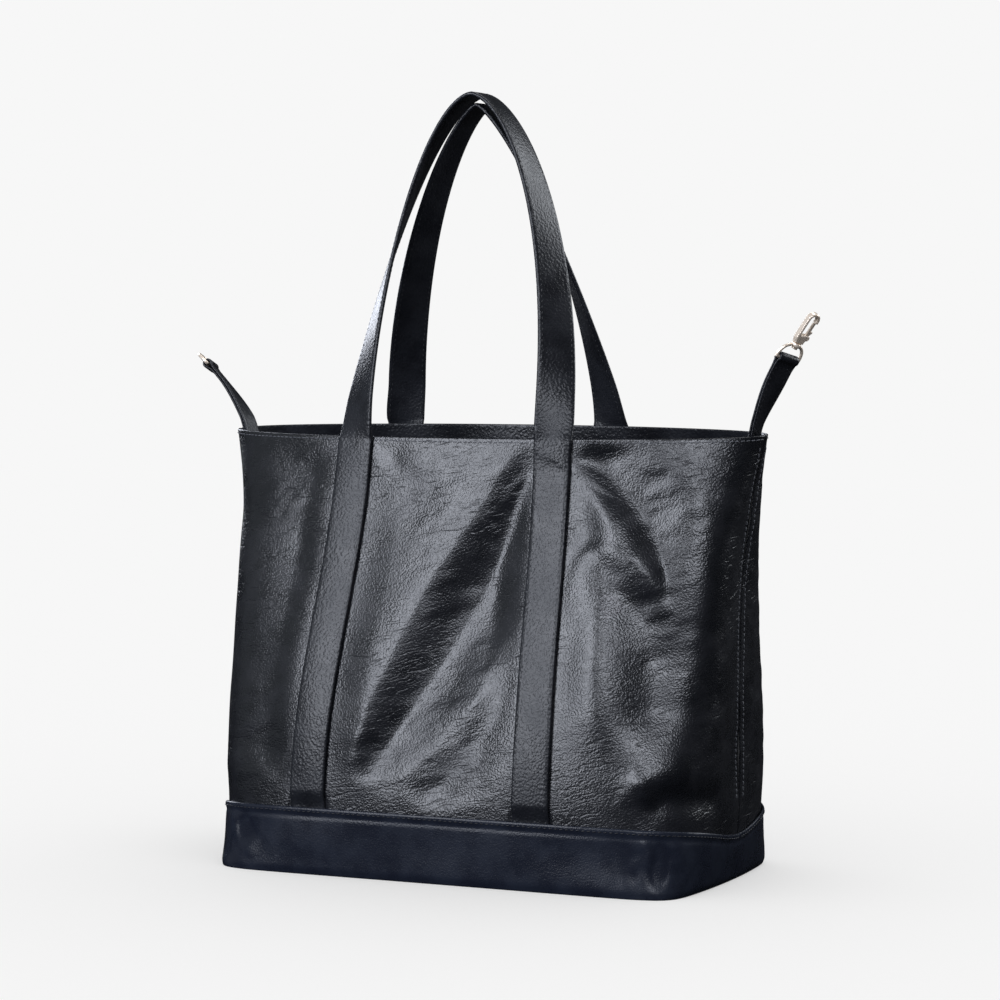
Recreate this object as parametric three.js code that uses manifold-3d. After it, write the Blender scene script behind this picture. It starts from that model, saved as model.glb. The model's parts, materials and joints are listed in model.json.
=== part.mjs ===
// A large leather tote used as a diaper bag: two outer panels on a deep base band, a lined inside, two
// shoulder handles sewn down the panels, and a short tab at each side seam, one with a D-ring and one with
// a swivel snap hook. Units are millimetres, +Z is up, +X is the wearer's right and -Y is the front. The
// origin is the centre of the base, on the surface the bag stands on.
import * as THREE from "three";
import { mergeVertices } from "three/addons/utils/BufferGeometryUtils.js";
import Module from "manifold-3d";

const wasm = await Module();
wasm.setup();

// ---- Driving dimensions -------------------------------------------------------------------------------

const bodyHeight = 340; // base to rim, at the side seams
const baseWidth = 400; // outside the base band, across the side seams
const baseDepth = 222; // outside the base band, front to back
const sideBulge = 0.042; // how much wider a section is at its side seams than at its front, as a share
const rimWidth = 452; // across the side seams at the rim
const rimDepth = 104; // front to back at the middle of the rim
const rimRise = 4; // how far the back of the rim stands above the side seams, and the front below

const footSplay = 0.65; // share of the side walls' spread that happens just above the base
const flarePower = 10; // how late the rest of it comes, flaring the rim
const leanFrom = 0.13; // share of the height where the front and back begin to lean in
const leanTo = 1.05; // the same where they would stand straight again

const baseSquareness = 12; // superellipse exponent of the section where it stands
const wallSquareness = 5; // the same just above the band
const rimSquareness = 2.2; // the same at the rim, where the section is a lens
const footRounding = 14; // how fast the section loses its base's corners
const rimRounding = 7; // how late it turns into the rim's lens

const bandHeight = 52; // front and back height of the base band
const bandDip = 15; // how much lower the band's top is at the side seams
const lapSeam = 8; // how far a panel goes down behind the band

const leather = 1.4; // outer leather
const facingLeather = 1.2; // thin leather of the inner rim facing
const cloth = 0.6; // lining
const gap = 0.3; // between pieces that lie against each other
const layerGap = 0.6; // between the curved layers of the wall, whose facets differ
const facingHeight = 42;

const boardThickness = 2.5;
const baseMargin = 0.8; // base leather to the inside of the band
const boardMargin = 1.4; // base board to the panels' outer face
const baseEndAngle = 0.15; // where the plates' straight ends begin, in radians from the side seams

const pocketWidth = 190;
const pocketHeight = 130;
const pocketFloor = 120; // height of the pocket's lower edge
const pocketSlack = 1; // how far the pocket hangs off the lining

const strapWidth = 30;
const strapThickness = 3.2;
const strapTwist = Math.PI / 2; // turn of the strap from the panel's face to the top of its arch
const handleShift = -11; // middle of both handles at the rim, from the bag's middle
const handleShiftAtBand = -14; // the same where the straps start at the band
const strapSpacingAtBand = 188;
const leanPower = 1.6; // how late a handle leans in as it rises
const twistPower = 0.55; // how early it turns
const handleSpacing = 168; // between the front handle's legs at the rim
const handleSpread = 10; // how much wider apart the back handle's legs are
const handleRise = 265; // of the front handle above the rim
const handleNesting = 16; // how much lower the back handle stays, under the front one
const handleClear = 5; // from the middle of a handle's thickness to the bag's middle plane, at its top
const frontHandle = {
  side: -1,
  spacing: handleSpacing,
  rise: handleRise,
  acrossPower: 1.17,
  risePower: 1.11,
};
const backHandle = {
  side: 1,
  spacing: handleSpacing + handleSpread,
  rise: handleRise - handleNesting,
  acrossPower: 1.42,
  risePower: 1.4,
};

const tabWidth = 20;
const tabThickness = 3.6;
const tabLength = 60; // from its hinge line to the middle of its ring eye
const tabSlack = 0.25; // from the rim's facing to the tab's outer face, at the tab's edges
const tabAnchorDepth = 32; // how far down inside the bag the tab is sewn
const tabHinge = 3; // height of the tab's bending line above the rim
const leftTab = { side: -1, leanAtRim: 28, leanAtEye: 48, twist: 18 };
const rightTab = { side: 1, leanAtRim: 20, leanAtEye: 30, twist: -28 };

const ringWire = 2.6;
const ringBevel = 0.5;
const ringSideClearance = 0.5; // between a tab's edge and its metal loop
const ringHeight = 14; // from the bar's middle to the top of the D
const ringInside = tabWidth + 2 * ringSideClearance;
const eyeClearance = 0.8; // round the loop's bar in the tab's rolled end
const eyeWall = 1.9; // leather round that bore
const eyeBore = ringWire / 2 + eyeClearance;
const eyeRadius = eyeBore + eyeWall;
const hookRestTilt = 6; // how far the hook leans on from its tab

const swivelBossHeight = 3.2;
const swivelBossWidth = 8;
const postRadius = 1.5;
const postHeadRadius = 2.6;
const postHeadThickness = 1.2;
const postPlay = 0.5; // between the post's head and the boss
const postEmbed = 0.4; // how far the post goes up into the hook's foot
const hookOuterRadius = 5.6;
const hookWire = 2.4;
const hookSpine = 14; // straight part between the hook's foot and its curve
const hookFoot = 7;
const hookBevel = 0.7;
const hookFillet = 1;
const noseLength = 2; // of the hook's tip below the end of its curve
const gateThickness = 1.6;
const gateKnuckle = 1.9; // radius of the gate about its pin
const gateLug = { out: 1.5, foot: 2, shoulder: 4.5, top: 5.6 }; // beyond the knuckle; heights over the pin
const springWidth = 0.8;
const springWire = 0.7;
const springPlay = 0.4; // between the gate and its spring
const pinRadius = 0.65;
const pinClearance = 0.3;
const pinRecess = 0.2; // of the pin's ends below the fork's faces
const forkCheek = 0.8; // thickness of the fork's two sides
const gateSlot = gateThickness + springPlay + springWidth + 2 * gap;
const hookThickness = gateSlot + 2 * forkCheek;
const knuckleRadius = gateKnuckle + 0.5 * hookFillet; // of the fork about the pin

const degrees = Math.PI / 180;

// ---- The body's shape ---------------------------------------------------------------------------------

// How far the band's outer face stands outside the panels' outer face.
const bandStand = leather + layerGap;

const smooth = (low, high, x) => THREE.MathUtils.smoothstep(x, low, high);

// Half widths and depths of the panels' outer face. The walls splay just above the base and the rim
// flares at the side seams; the front and back lean in towards the rim.
function halfWidthAt(z) {
  const t = z / bodyHeight;
  const splay = footSplay * Math.sqrt(t) + (1 - footSplay) * t ** flarePower;
  return THREE.MathUtils.lerp(baseWidth / 2 - bandStand, rimWidth / 2, splay);
}

function halfDepthAt(z) {
  const leanIn = smooth(leanFrom, leanTo, z / bodyHeight) / smooth(leanFrom, leanTo, 1);
  return THREE.MathUtils.lerp(baseDepth / 2 - bandStand, rimDepth / 2, leanIn);
}

function squarenessAt(z) {
  const t = z / bodyHeight;
  const foot = THREE.MathUtils.lerp(1 / baseSquareness, 1 / wallSquareness, 1 - Math.exp(-footRounding * t));
  return 1 / (foot + (1 / rimSquareness - 1 / wallSquareness) * t ** rimRounding);
}

// A point of the wall at an angle round the section, at a height, and inset from the panels' outer face.
function wallPoint(angle, z, inset) {
  const n = squarenessAt(z);
  const c = Math.cos(angle);
  const s = Math.sin(angle);
  const reach = (Math.abs(c) ** n + Math.abs(s) ** n) ** (-1 / n);
  const x = (halfWidthAt(z) - inset) * reach * c * (1 - sideBulge * (reach * s) ** 2);
  return new THREE.Vector3(x, (halfDepthAt(z) - inset) * reach * s, z);
}

// Distance of the wall's outer face from the middle plane, at an x and a height.
function wallDepth(x, z) {
  const n = squarenessAt(z);
  const across = Math.abs(x / (halfWidthAt(z) * (1 - sideBulge)));
  return halfDepthAt(z) * (1 - across ** n) ** (1 / n);
}

// Each half of a section, from side seam to side seam, is a row of flat facets. Their edges are drawn
// together towards the corners: this gives the angle of an edge at a share of the row.
const wallFacets = 24;
const cornerGathering = 0.06; // how strongly, in radians
const facetAngle = (share) => share * Math.PI + cornerGathering * Math.sin(4 * share * Math.PI);

// How far the facets next to a side seam reach out, at a y and a height, inset from the outer face.
function facetReach(y, z, inset) {
  let edge = 1;
  while (wallPoint(facetAngle(edge / wallFacets), z, inset).y < y) edge++;
  const from = wallPoint(facetAngle((edge - 1) / wallFacets), z, inset);
  const to = wallPoint(facetAngle(edge / wallFacets), z, inset);
  return THREE.MathUtils.mapLinear(y, from.y, to.y, from.x, to.x);
}

const rimAt = (angle) => bodyHeight + rimRise * Math.sin(angle);
const bandTopAt = (angle) => bandHeight - bandDip * Math.abs(Math.cos(angle)) ** 6;

// ---- Building helpers ---------------------------------------------------------------------------------

function signedVolume(geometry) {
  const p = geometry.getAttribute("position");
  const index = geometry.index.array;
  const corner = (i) => new THREE.Vector3().fromBufferAttribute(p, index[i]);
  let volume = 0;
  for (let i = 0; i < index.length; i += 3) volume += corner(i).dot(corner(i + 1).cross(corner(i + 2)));
  return volume;
}

// A closed slab between two faces of a sheet: pointAt(u, v, face) gives the outer face at 0, the inner at 1.
function slab(pointAt, uSteps, vSteps) {
  const positions = [];
  const index = [];
  for (const face of [0, 1])
    for (let i = 0; i <= uSteps; i++)
      for (let j = 0; j <= vSteps; j++) positions.push(...pointAt(i / uSteps, j / vSteps, face));
  const at = (face, i, j) => (face * (uSteps + 1) + i) * (vSteps + 1) + j;
  const quad = (a, b, c, d) => index.push(a, b, c, a, c, d);
  for (let i = 0; i < uSteps; i++)
    for (let j = 0; j < vSteps; j++) {
      quad(at(0, i, j), at(0, i + 1, j), at(0, i + 1, j + 1), at(0, i, j + 1));
      quad(at(1, i, j), at(1, i, j + 1), at(1, i + 1, j + 1), at(1, i + 1, j));
    }
  for (let i = 0; i < uSteps; i++) {
    quad(at(0, i, 0), at(1, i, 0), at(1, i + 1, 0), at(0, i + 1, 0));
    quad(at(0, i, vSteps), at(0, i + 1, vSteps), at(1, i + 1, vSteps), at(1, i, vSteps));
  }
  for (let j = 0; j < vSteps; j++) {
    quad(at(0, 0, j), at(0, 0, j + 1), at(1, 0, j + 1), at(1, 0, j));
    quad(at(0, uSteps, j), at(1, uSteps, j), at(1, uSteps, j + 1), at(0, uSteps, j + 1));
  }
  const geometry = new THREE.BufferGeometry();
  geometry.setAttribute("position", new THREE.Float32BufferAttribute(positions, 3));
  geometry.setIndex(index);
  if (signedVolume(geometry) < 0) geometry.setIndex(index.reverse());
  geometry.computeVertexNormals();
  return geometry;
}

function solidOf(geometry) {
  const bare = geometry.clone();
  bare.deleteAttribute("normal");
  bare.deleteAttribute("uv");
  const merged = mergeVertices(bare, 1e-4);
  return new wasm.Manifold(
    new wasm.Mesh({
      numProp: 3,
      vertProperties: new Float32Array(merged.attributes.position.array),
      triVerts: new Uint32Array(merged.index.array),
    }),
  );
}

function geometryOf(solid) {
  const mesh = solid.getMesh();
  const geometry = new THREE.BufferGeometry();
  geometry.setAttribute("position", new THREE.BufferAttribute(mesh.vertProperties, mesh.numProp));
  geometry.setIndex(new THREE.BufferAttribute(mesh.triVerts, 1));
  geometry.computeVertexNormals();
  return geometry;
}

// A cylinder along Y through a point of the XZ plane.
function crossRod(radius, length, x, z, y = 0) {
  return new THREE.CylinderGeometry(radius, radius, length, 20).translate(x, y, z);
}

// An outline in the plane of a group's Y (across) and Z (up), extruded along X about the middle.
function plate(outline, thickness, bevel = 0) {
  return new THREE.ExtrudeGeometry(outline, {
    depth: thickness - 2 * bevel,
    bevelEnabled: bevel > 0,
    bevelThickness: bevel,
    bevelSize: bevel,
    bevelOffset: -bevel,
    bevelSegments: 1,
    curveSegments: 10,
  })
    .translate(0, 0, bevel - thickness / 2)
    .rotateY(Math.PI / 2)
    .rotateX(Math.PI / 2);
}

const finishes = {
  leather: { color: 0x17181c, roughness: 0.42, metalness: 0 },
  band_leather: { color: 0x191c25, roughness: 0.5, metalness: 0 },
  lining: { color: 0x202124, roughness: 0.9, metalness: 0 },
  board: { color: 0x2c2c2e, roughness: 0.7, metalness: 0 },
  gold: { color: 0xd9b88a, roughness: 0.25, metalness: 1 },
  steel: { color: 0xc8c4bc, roughness: 0.3, metalness: 1 },
};
const material = Object.fromEntries(
  Object.entries(finishes).map(([name, look]) => [name, new THREE.MeshStandardMaterial({ name, ...look })]),
);

function piece(name, geometry, look) {
  const mesh = new THREE.Mesh(geometry, material[look]);
  mesh.name = name;
  return mesh;
}

const bag = new THREE.Group();

// ---- Walls: panels, bands, facings and linings, each a front and a back half -----------------------------

// One half of a wall from side seam to side seam, with its height given at an angle and a share of its rise.
function halfWall(side, heightAt, inset, thickness, levels) {
  return slab(
    (u, v, face) => {
      const turn = facetAngle(u);
      const z = heightAt(side * turn, v);
      const seam = Math.asin(gap / 2 / (halfDepthAt(z) - inset - face * thickness));
      const angle = side * THREE.MathUtils.lerp(seam, Math.PI - seam, turn / Math.PI);
      return wallPoint(angle, z, inset + face * thickness);
    },
    wallFacets,
    levels,
  );
}

const facingInset = leather + layerGap;
const liningInset = leather + 2 * layerGap;
const liningFloor = leather + boardThickness + cloth + 3 * gap;

// Heights of the four kinds of wall piece. The panel's upper third has the facing's own levels.
const facingFoot = (angle) => rimAt(angle) - facingHeight;
const bandHeightAt = (angle, v) => v * bandTopAt(angle);
const facingHeightAt = (angle, v) => facingFoot(angle) + v * facingHeight;
const liningHeightAt = (angle, v) => THREE.MathUtils.lerp(liningFloor, facingFoot(angle) - gap, v);

function panelHeightAt(angle, v) {
  const levelled = 3 * v - 2;
  if (levelled > 0) return facingHeightAt(angle, levelled);
  return THREE.MathUtils.lerp(bandTopAt(angle) - lapSeam, facingFoot(angle), 1.5 * v);
}

for (const [name, side] of [
  ["front", -1],
  ["back", 1],
]) {
  bag.add(
    piece(`${name}_panel`, halfWall(side, panelHeightAt, 0, leather, 12), "leather"),
    piece(`${name}_base_band`, halfWall(side, bandHeightAt, -bandStand, leather, 4), "band_leather"),
    piece(`${name}_top_facing`, halfWall(side, facingHeightAt, facingInset, facingLeather, 4), "leather"),
    piece(`${name}_lining`, halfWall(side, liningHeightAt, liningInset, cloth, 9), "lining"),
  );
}

// ---- Base: outer leather, stiffening board and lining -------------------------------------------------

// A flat plate filling the base's section, made of strips that run from the front edge to the back edge.
// It fits the narrower of the sections at the ground and at its own top.
function basePlate(inset, bottom, thickness) {
  const top = bottom + thickness;
  const level = halfWidthAt(top) < halfWidthAt(0) ? top : 0;
  return slab(
    (u, v, face) => {
      const turn = facetAngle(THREE.MathUtils.lerp(baseEndAngle, Math.PI - baseEndAngle, u) / Math.PI);
      const point = wallPoint(-turn, level, inset).lerp(wallPoint(turn, level, inset), v);
      return point.setZ(bottom + (1 - face) * thickness);
    },
    22,
    1,
  );
}

bag.add(
  piece("base_panel", basePlate(baseMargin, 0, leather), "band_leather"),
  piece("base_board", basePlate(boardMargin, leather + gap, boardThickness), "board"),
  piece("base_lining", basePlate(liningInset + cloth, liningFloor - cloth - gap, cloth), "lining"),
);

// ---- Slip pocket on the back lining ------------------------------------------------------------------

bag.add(
  piece(
    "inner_pocket",
    slab(
      (u, v, face) => {
        const x = (u - 0.5) * pocketWidth;
        const z = pocketFloor + v * pocketHeight;
        const inset = liningInset + cloth + pocketSlack + face * cloth;
        return new THREE.Vector3(x, wallDepth(x, z) - inset, z);
      },
      8,
      6,
    ),
    "lining",
  ),
);

// ---- Handles: sewn legs on the panels, and a free loop above the rim -------------------------------------

const rimBy = (side) => bodyHeight + side * rimRise;

function legCentre(handle, leg, z) {
  const up = (z - bandHeight) / (rimBy(handle.side) - bandHeight);
  const ease = smooth(0, 1, up);
  const half = THREE.MathUtils.lerp(strapSpacingAtBand, handle.spacing, ease) / 2;
  return THREE.MathUtils.lerp(handleShiftAtBand, handleShift, ease) + leg * half;
}

function sewnLeg(handle, leg) {
  const bottom = bandHeight + gap;
  const top = rimBy(handle.side) - gap;
  return slab(
    (u, v, face) => {
      const z = THREE.MathUtils.lerp(bottom, top, u);
      const x = legCentre(handle, leg, z) + (v - 0.5) * strapWidth;
      const out = wallDepth(x, z) + gap + (1 - face) * strapThickness;
      return new THREE.Vector3(x, handle.side * out, z);
    },
    14,
    4,
  );
}

// Middle of the strap's thickness where a loop leaves the rim: clear of the panel under both legs.
function loopRoot(handle) {
  const nearest = Math.min(Math.abs(handleShift - handle.spacing / 2), Math.abs(handleShift + handle.spacing / 2));
  return wallDepth(nearest - strapWidth / 2, bodyHeight - rimRise) + gap + strapThickness / 2;
}

// The strap rises as an arch and leans to the bag's middle. It turns as it rises, from lying flat with the
// panel to facing up at the top, so its width runs across the bag there.
function handleLoop(handle) {
  const root = loopRoot(handle);
  const lean = root - handleClear;
  const foot = rimBy(handle.side) + 2 * gap;
  const centre = (q) => {
    const c = Math.cos(q);
    const rise = Math.sin(q) ** handle.risePower;
    return new THREE.Vector3(
      handleShift + (handle.spacing / 2) * Math.sign(c) * Math.abs(c) ** handle.acrossPower,
      handle.side * (root - lean * (1 - (1 - rise) ** leanPower)),
      foot + handle.rise * rise,
    );
  };
  const step = 1e-3;
  return slab(
    (u, v, face) => {
      const q = u * Math.PI;
      const ahead = centre(Math.min(Math.PI, q + step));
      const tangent = ahead.sub(centre(Math.max(0, q - step))).normalize();
      const turn = strapTwist * Math.sin(q) ** (twistPower * handle.risePower);
      const along = Math.sign(Math.cos(q)) || 1;
      const across = new THREE.Vector3(along * Math.cos(turn), -handle.side * Math.sin(turn), 0);
      if (q === 0 || q === Math.PI) tangent.set(0, 0, along);
      across.addScaledVector(tangent, -across.dot(tangent)).normalize();
      const normal = new THREE.Vector3().crossVectors(across, tangent);
      return centre(q)
        .addScaledVector(across, (v - 0.5) * strapWidth)
        .addScaledVector(normal, (0.5 - face) * strapThickness);
    },
    44,
    2,
  );
}

for (const [name, handle] of [
  ["front_handle", frontHandle],
  ["back_handle", backHandle],
]) {
  bag.add(
    piece(`${name}_left_leg`, sewnLeg(handle, -1), "leather"),
    piece(`${name}_right_leg`, sewnLeg(handle, 1), "leather"),
    piece(`${name}_loop`, handleLoop(handle), "leather"),
  );
}

// ---- Side tabs ----------------------------------------------------------------------------------------

// How far out a tab's edges can lie at a height before they meet the facing's inner face.
function tabRoom(z) {
  const level = Math.min(z, bodyHeight);
  return facetReach(tabWidth / 2, level, facingInset + facingLeather);
}

// The part of a tab that is sewn inside the bag, following the wall.
function tabAnchor(tab) {
  const top = bodyHeight + tabHinge - tabThickness / 2 - gap;
  return slab(
    (u, v, face) => {
      const z = THREE.MathUtils.lerp(bodyHeight - tabAnchorDepth, top, u);
      const out = tabRoom(z) - layerGap - face * tabThickness;
      return new THREE.Vector3(tab.side * out, (v - 0.5) * tabWidth, z);
    },
    4,
    1,
  );
}

// The tab's line in the XZ plane of its own group: an arc that leans outwards as it rises from the hinge.
function tabPath(tab, s) {
  const start = tab.leanAtRim * degrees;
  const end = tab.leanAtEye * degrees;
  const lean = THREE.MathUtils.lerp(start, end, s);
  const radius = tabLength / (end - start);
  return {
    point: new THREE.Vector3(
      tab.side * radius * (Math.cos(start) - Math.cos(lean)),
      0,
      radius * (Math.sin(lean) - Math.sin(start)),
    ),
    tangent: new THREE.Vector3(tab.side * Math.sin(lean), 0, Math.cos(lean)),
  };
}

// Axes of the tab at a share of its length: x through its thickness, y across it, z along it.
function tabAxes(tab, s) {
  const { tangent } = tabPath(tab, s);
  const across = new THREE.Vector3(0, 1, 0).applyAxisAngle(tangent, tab.twist * smooth(0, 0.8, s) * degrees);
  return new THREE.Matrix4().makeBasis(new THREE.Vector3().crossVectors(across, tangent), across, tangent);
}

function tabStrap(tab) {
  const strip = slab(
    (u, v, face) => {
      const offset = new THREE.Vector3((0.5 - face) * tabThickness, (v - 0.5) * tabWidth, 0);
      return offset.applyMatrix4(tabAxes(tab, u)).add(tabPath(tab, u).point);
    },
    12,
    2,
  );
  const end = tabPath(tab, 1).point;
  const atEye = (rod) => rod.applyMatrix4(tabAxes(tab, 1)).translate(end.x, end.y, end.z);
  return geometryOf(
    solidOf(strip)
      .add(solidOf(crossRod(tabThickness / 2, tabWidth, 0, 0)))
      .add(solidOf(atEye(crossRod(eyeRadius, tabWidth, 0, 0))))
      .subtract(solidOf(atEye(crossRod(eyeBore, tabWidth * 2, 0, 0)))),
  );
}

// Groups standing at a tab's hinge line and at its eye.
function tabGroup(tab) {
  const group = new THREE.Group();
  group.position.set(
    tab.side * (tabRoom(bodyHeight) - tabSlack - tabThickness / 2),
    0,
    bodyHeight + tabHinge,
  );
  return group;
}

function eyeGroup(tab, tilt) {
  const group = new THREE.Group();
  group.quaternion.setFromRotationMatrix(tabAxes(tab, 1));
  group.rotateY(tab.side * tilt * degrees);
  group.position.copy(tabPath(tab, 1).point);
  return group;
}

// ---- D-ring and swivel eye ----------------------------------------------------------------------------

// A D outline: a straight bar at the bottom and a bow over it. Grow moves it outwards.
function dOutline(path, grow) {
  const half = ringInside / 2 + grow;
  const bow = ringHeight - ringWire + grow;
  const bottom = ringWire / 2 - grow;
  path.moveTo(-half, bottom);
  path.lineTo(half, bottom);
  path.bezierCurveTo(half, bow * 0.75, half * 0.55, bow, 0, bow);
  path.bezierCurveTo(-half * 0.55, bow, -half, bow * 0.75, -half, bottom);
  return path;
}

function dRing() {
  const outline = dOutline(new THREE.Shape(), ringWire);
  outline.holes.push(dOutline(new THREE.Path(), 0));
  return plate(outline, ringWire, ringBevel);
}

const bossFoot = ringHeight - ringWire;

// The hook's loop: a D with a flat boss on its bow, bored for the swivel post.
function swivelEye() {
  const boss = new THREE.BoxGeometry(swivelBossWidth, swivelBossWidth, swivelBossHeight);
  boss.translate(0, 0, bossFoot + swivelBossHeight / 2);
  const bore = new THREE.CylinderGeometry(postRadius + gap, postRadius + gap, 4 * swivelBossHeight, 24)
    .rotateX(Math.PI / 2)
    .translate(0, 0, bossFoot + swivelBossHeight / 2);
  const headRoomDepth = 2.5 * postHeadThickness;
  const headRoom = new THREE.CylinderGeometry(postHeadRadius + gap, postHeadRadius + gap, headRoomDepth, 24)
    .rotateX(Math.PI / 2)
    .translate(0, 0, bossFoot - headRoomDepth / 2);
  return geometryOf(solidOf(dRing()).add(solidOf(boss)).subtract(solidOf(bore)).subtract(solidOf(headRoom)));
}

// ---- Snap hook ----------------------------------------------------------------------------------------

const hookBase = bossFoot + swivelBossHeight + gap; // where the hook's foot stands on the boss
const hookInnerRadius = hookOuterRadius - hookWire;
const pivot = { across: hookOuterRadius - hookWire / 2, up: hookFoot - knuckleRadius / 2 };
const curveHeight = hookFoot + hookSpine;

function hookOutline() {
  const outline = new THREE.Shape();
  const footHalf = swivelBossWidth / 2;
  outline.moveTo(-footHalf, 0);
  outline.lineTo(-hookOuterRadius, footHalf);
  outline.lineTo(-hookOuterRadius, curveHeight);
  outline.absarc(0, curveHeight, hookOuterRadius, Math.PI, 0, true);
  outline.lineTo(hookOuterRadius, curveHeight - noseLength);
  outline.lineTo(hookInnerRadius, curveHeight - noseLength);
  outline.lineTo(hookInnerRadius, curveHeight);
  outline.absarc(0, curveHeight, hookInnerRadius, 0, Math.PI, false);
  outline.lineTo(-hookInnerRadius, hookFoot + hookFillet);
  outline.lineTo(-hookInnerRadius + hookFillet, hookFoot);
  outline.lineTo(pivot.across, pivot.up + knuckleRadius);
  outline.absarc(pivot.across, pivot.up, knuckleRadius, Math.PI / 2, -Math.PI / 2, true);
  outline.lineTo(footHalf, 0);
  outline.closePath();
  return outline;
}

function pinRod(radius, length, along = 0) {
  return new THREE.CylinderGeometry(radius, radius, length, 20)
    .rotateZ(Math.PI / 2)
    .translate(along, pivot.across, pivot.up);
}

// The hook with its swivel post, peened inside the eye, and a fork at its foot for the gate.
function hookBody() {
  const headTop = gap + swivelBossHeight + postPlay;
  const postLength = postEmbed + headTop + postHeadThickness;
  const post = new THREE.CylinderGeometry(postRadius, postRadius, postLength, 24)
    .rotateX(Math.PI / 2)
    .translate(0, 0, postEmbed - postLength / 2);
  const head = new THREE.CylinderGeometry(postHeadRadius, postHeadRadius, postHeadThickness, 24)
    .rotateX(Math.PI / 2)
    .translate(0, 0, -headTop - postHeadThickness / 2);
  const slotInner = gateKnuckle + gap;
  const slotFoot = gateKnuckle + 2 * gap;
  const slotWide = slotInner + 2 * knuckleRadius;
  const slotHigh = slotFoot + 2 * knuckleRadius;
  const slot = new THREE.BoxGeometry(gateSlot, slotWide, slotHigh).translate(
    0,
    pivot.across - slotInner + slotWide / 2,
    pivot.up - slotFoot + slotHigh / 2,
  );
  return geometryOf(
    solidOf(plate(hookOutline(), hookThickness, hookBevel))
      .subtract(solidOf(slot))
      .subtract(solidOf(pinRod(pinRadius + pinClearance, hookThickness * 2)))
      .add(solidOf(post))
      .add(solidOf(head)),
  );
}

// The gate closes the hook's mouth and swings in about its pin, pushed by a thumb lug on its back.
function hookGate() {
  const half = hookWire / 2;
  const tip = curveHeight - noseLength - 2 * gap;
  const outline = new THREE.Shape();
  const lug = pivot.across + gateKnuckle + gateLug.out;
  outline.absarc(pivot.across, pivot.up, gateKnuckle, Math.PI, 2 * Math.PI, false);
  outline.lineTo(pivot.across + gateKnuckle, pivot.up + gateLug.foot);
  outline.lineTo(lug, pivot.up + gateLug.shoulder);
  outline.lineTo(lug - gap, pivot.up + gateLug.top);
  outline.lineTo(pivot.across + half, pivot.up + gateLug.top - gap);
  outline.lineTo(pivot.across + half, tip);
  outline.lineTo(pivot.across - half, tip);
  outline.lineTo(pivot.across - half, pivot.up + gateLug.foot);
  outline.closePath();
  const side = -(gateSlot - gateThickness) / 2 + gap;
  return geometryOf(
    solidOf(plate(outline, gateThickness).translate(side, 0, 0)).subtract(
      solidOf(pinRod(pinRadius + pinClearance, gateSlot * 2)),
    ),
  );
}

// The gate's torsion spring, a short coil round the pin beside the gate.
function gateSpring() {
  const inner = pinRadius + pinClearance;
  const outer = inner + springWire;
  const half = springWidth / 2;
  const profile = [
    new THREE.Vector2(inner, -half),
    new THREE.Vector2(outer, -half),
    new THREE.Vector2(outer, half),
    new THREE.Vector2(inner, half),
    new THREE.Vector2(inner, -half),
  ];
  const place = gateSlot / 2 - gap - half;
  return new THREE.LatheGeometry(profile, 20).rotateZ(Math.PI / 2).translate(place, pivot.across, pivot.up);
}

// ---- Tabs with their metal ---------------------------------------------------------------------------------

bag.add(
  piece("left_tab_anchor", tabAnchor(leftTab), "leather"),
  piece("right_tab_anchor", tabAnchor(rightTab), "leather"),
);

const leftTabGroup = tabGroup(leftTab);
const leftEyeGroup = eyeGroup(leftTab, 0);
leftEyeGroup.add(piece("left_d_ring", dRing(), "gold"));
leftTabGroup.add(piece("left_tab", tabStrap(leftTab), "leather"), leftEyeGroup);

const rightTabGroup = tabGroup(rightTab);
const rightEyeGroup = eyeGroup(rightTab, hookRestTilt);
const hookGroup = new THREE.Group();
hookGroup.position.set(0, 0, hookBase);
hookGroup.add(
  piece("hook_body", hookBody(), "gold"),
  piece("hook_gate", hookGate(), "gold"),
  piece("hook_gate_pin", pinRod(pinRadius, hookThickness - 2 * pinRecess), "steel"),
  piece("hook_gate_spring", gateSpring(), "steel"),
);
rightEyeGroup.add(piece("hook_eye", swivelEye(), "gold"), hookGroup);
rightTabGroup.add(piece("right_tab", tabStrap(rightTab), "leather"), rightEyeGroup);

bag.add(leftTabGroup, rightTabGroup);

export default bag;
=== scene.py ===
# %% [markdown]
# A large black tote used as a diaper bag stands on a pale studio floor. It is faux leather: glossy, pebbled and
# creased on its walls, smoother on the deep band round its base. Two shoulder handles are sewn down the walls, and
# a short tab at each side seam ends in pale gold metal. The CAD model gives every place and size. This file gives
# the soft shapes, the stitches and the finishes that a maker would see on the real bag.

import json
import math

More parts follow.
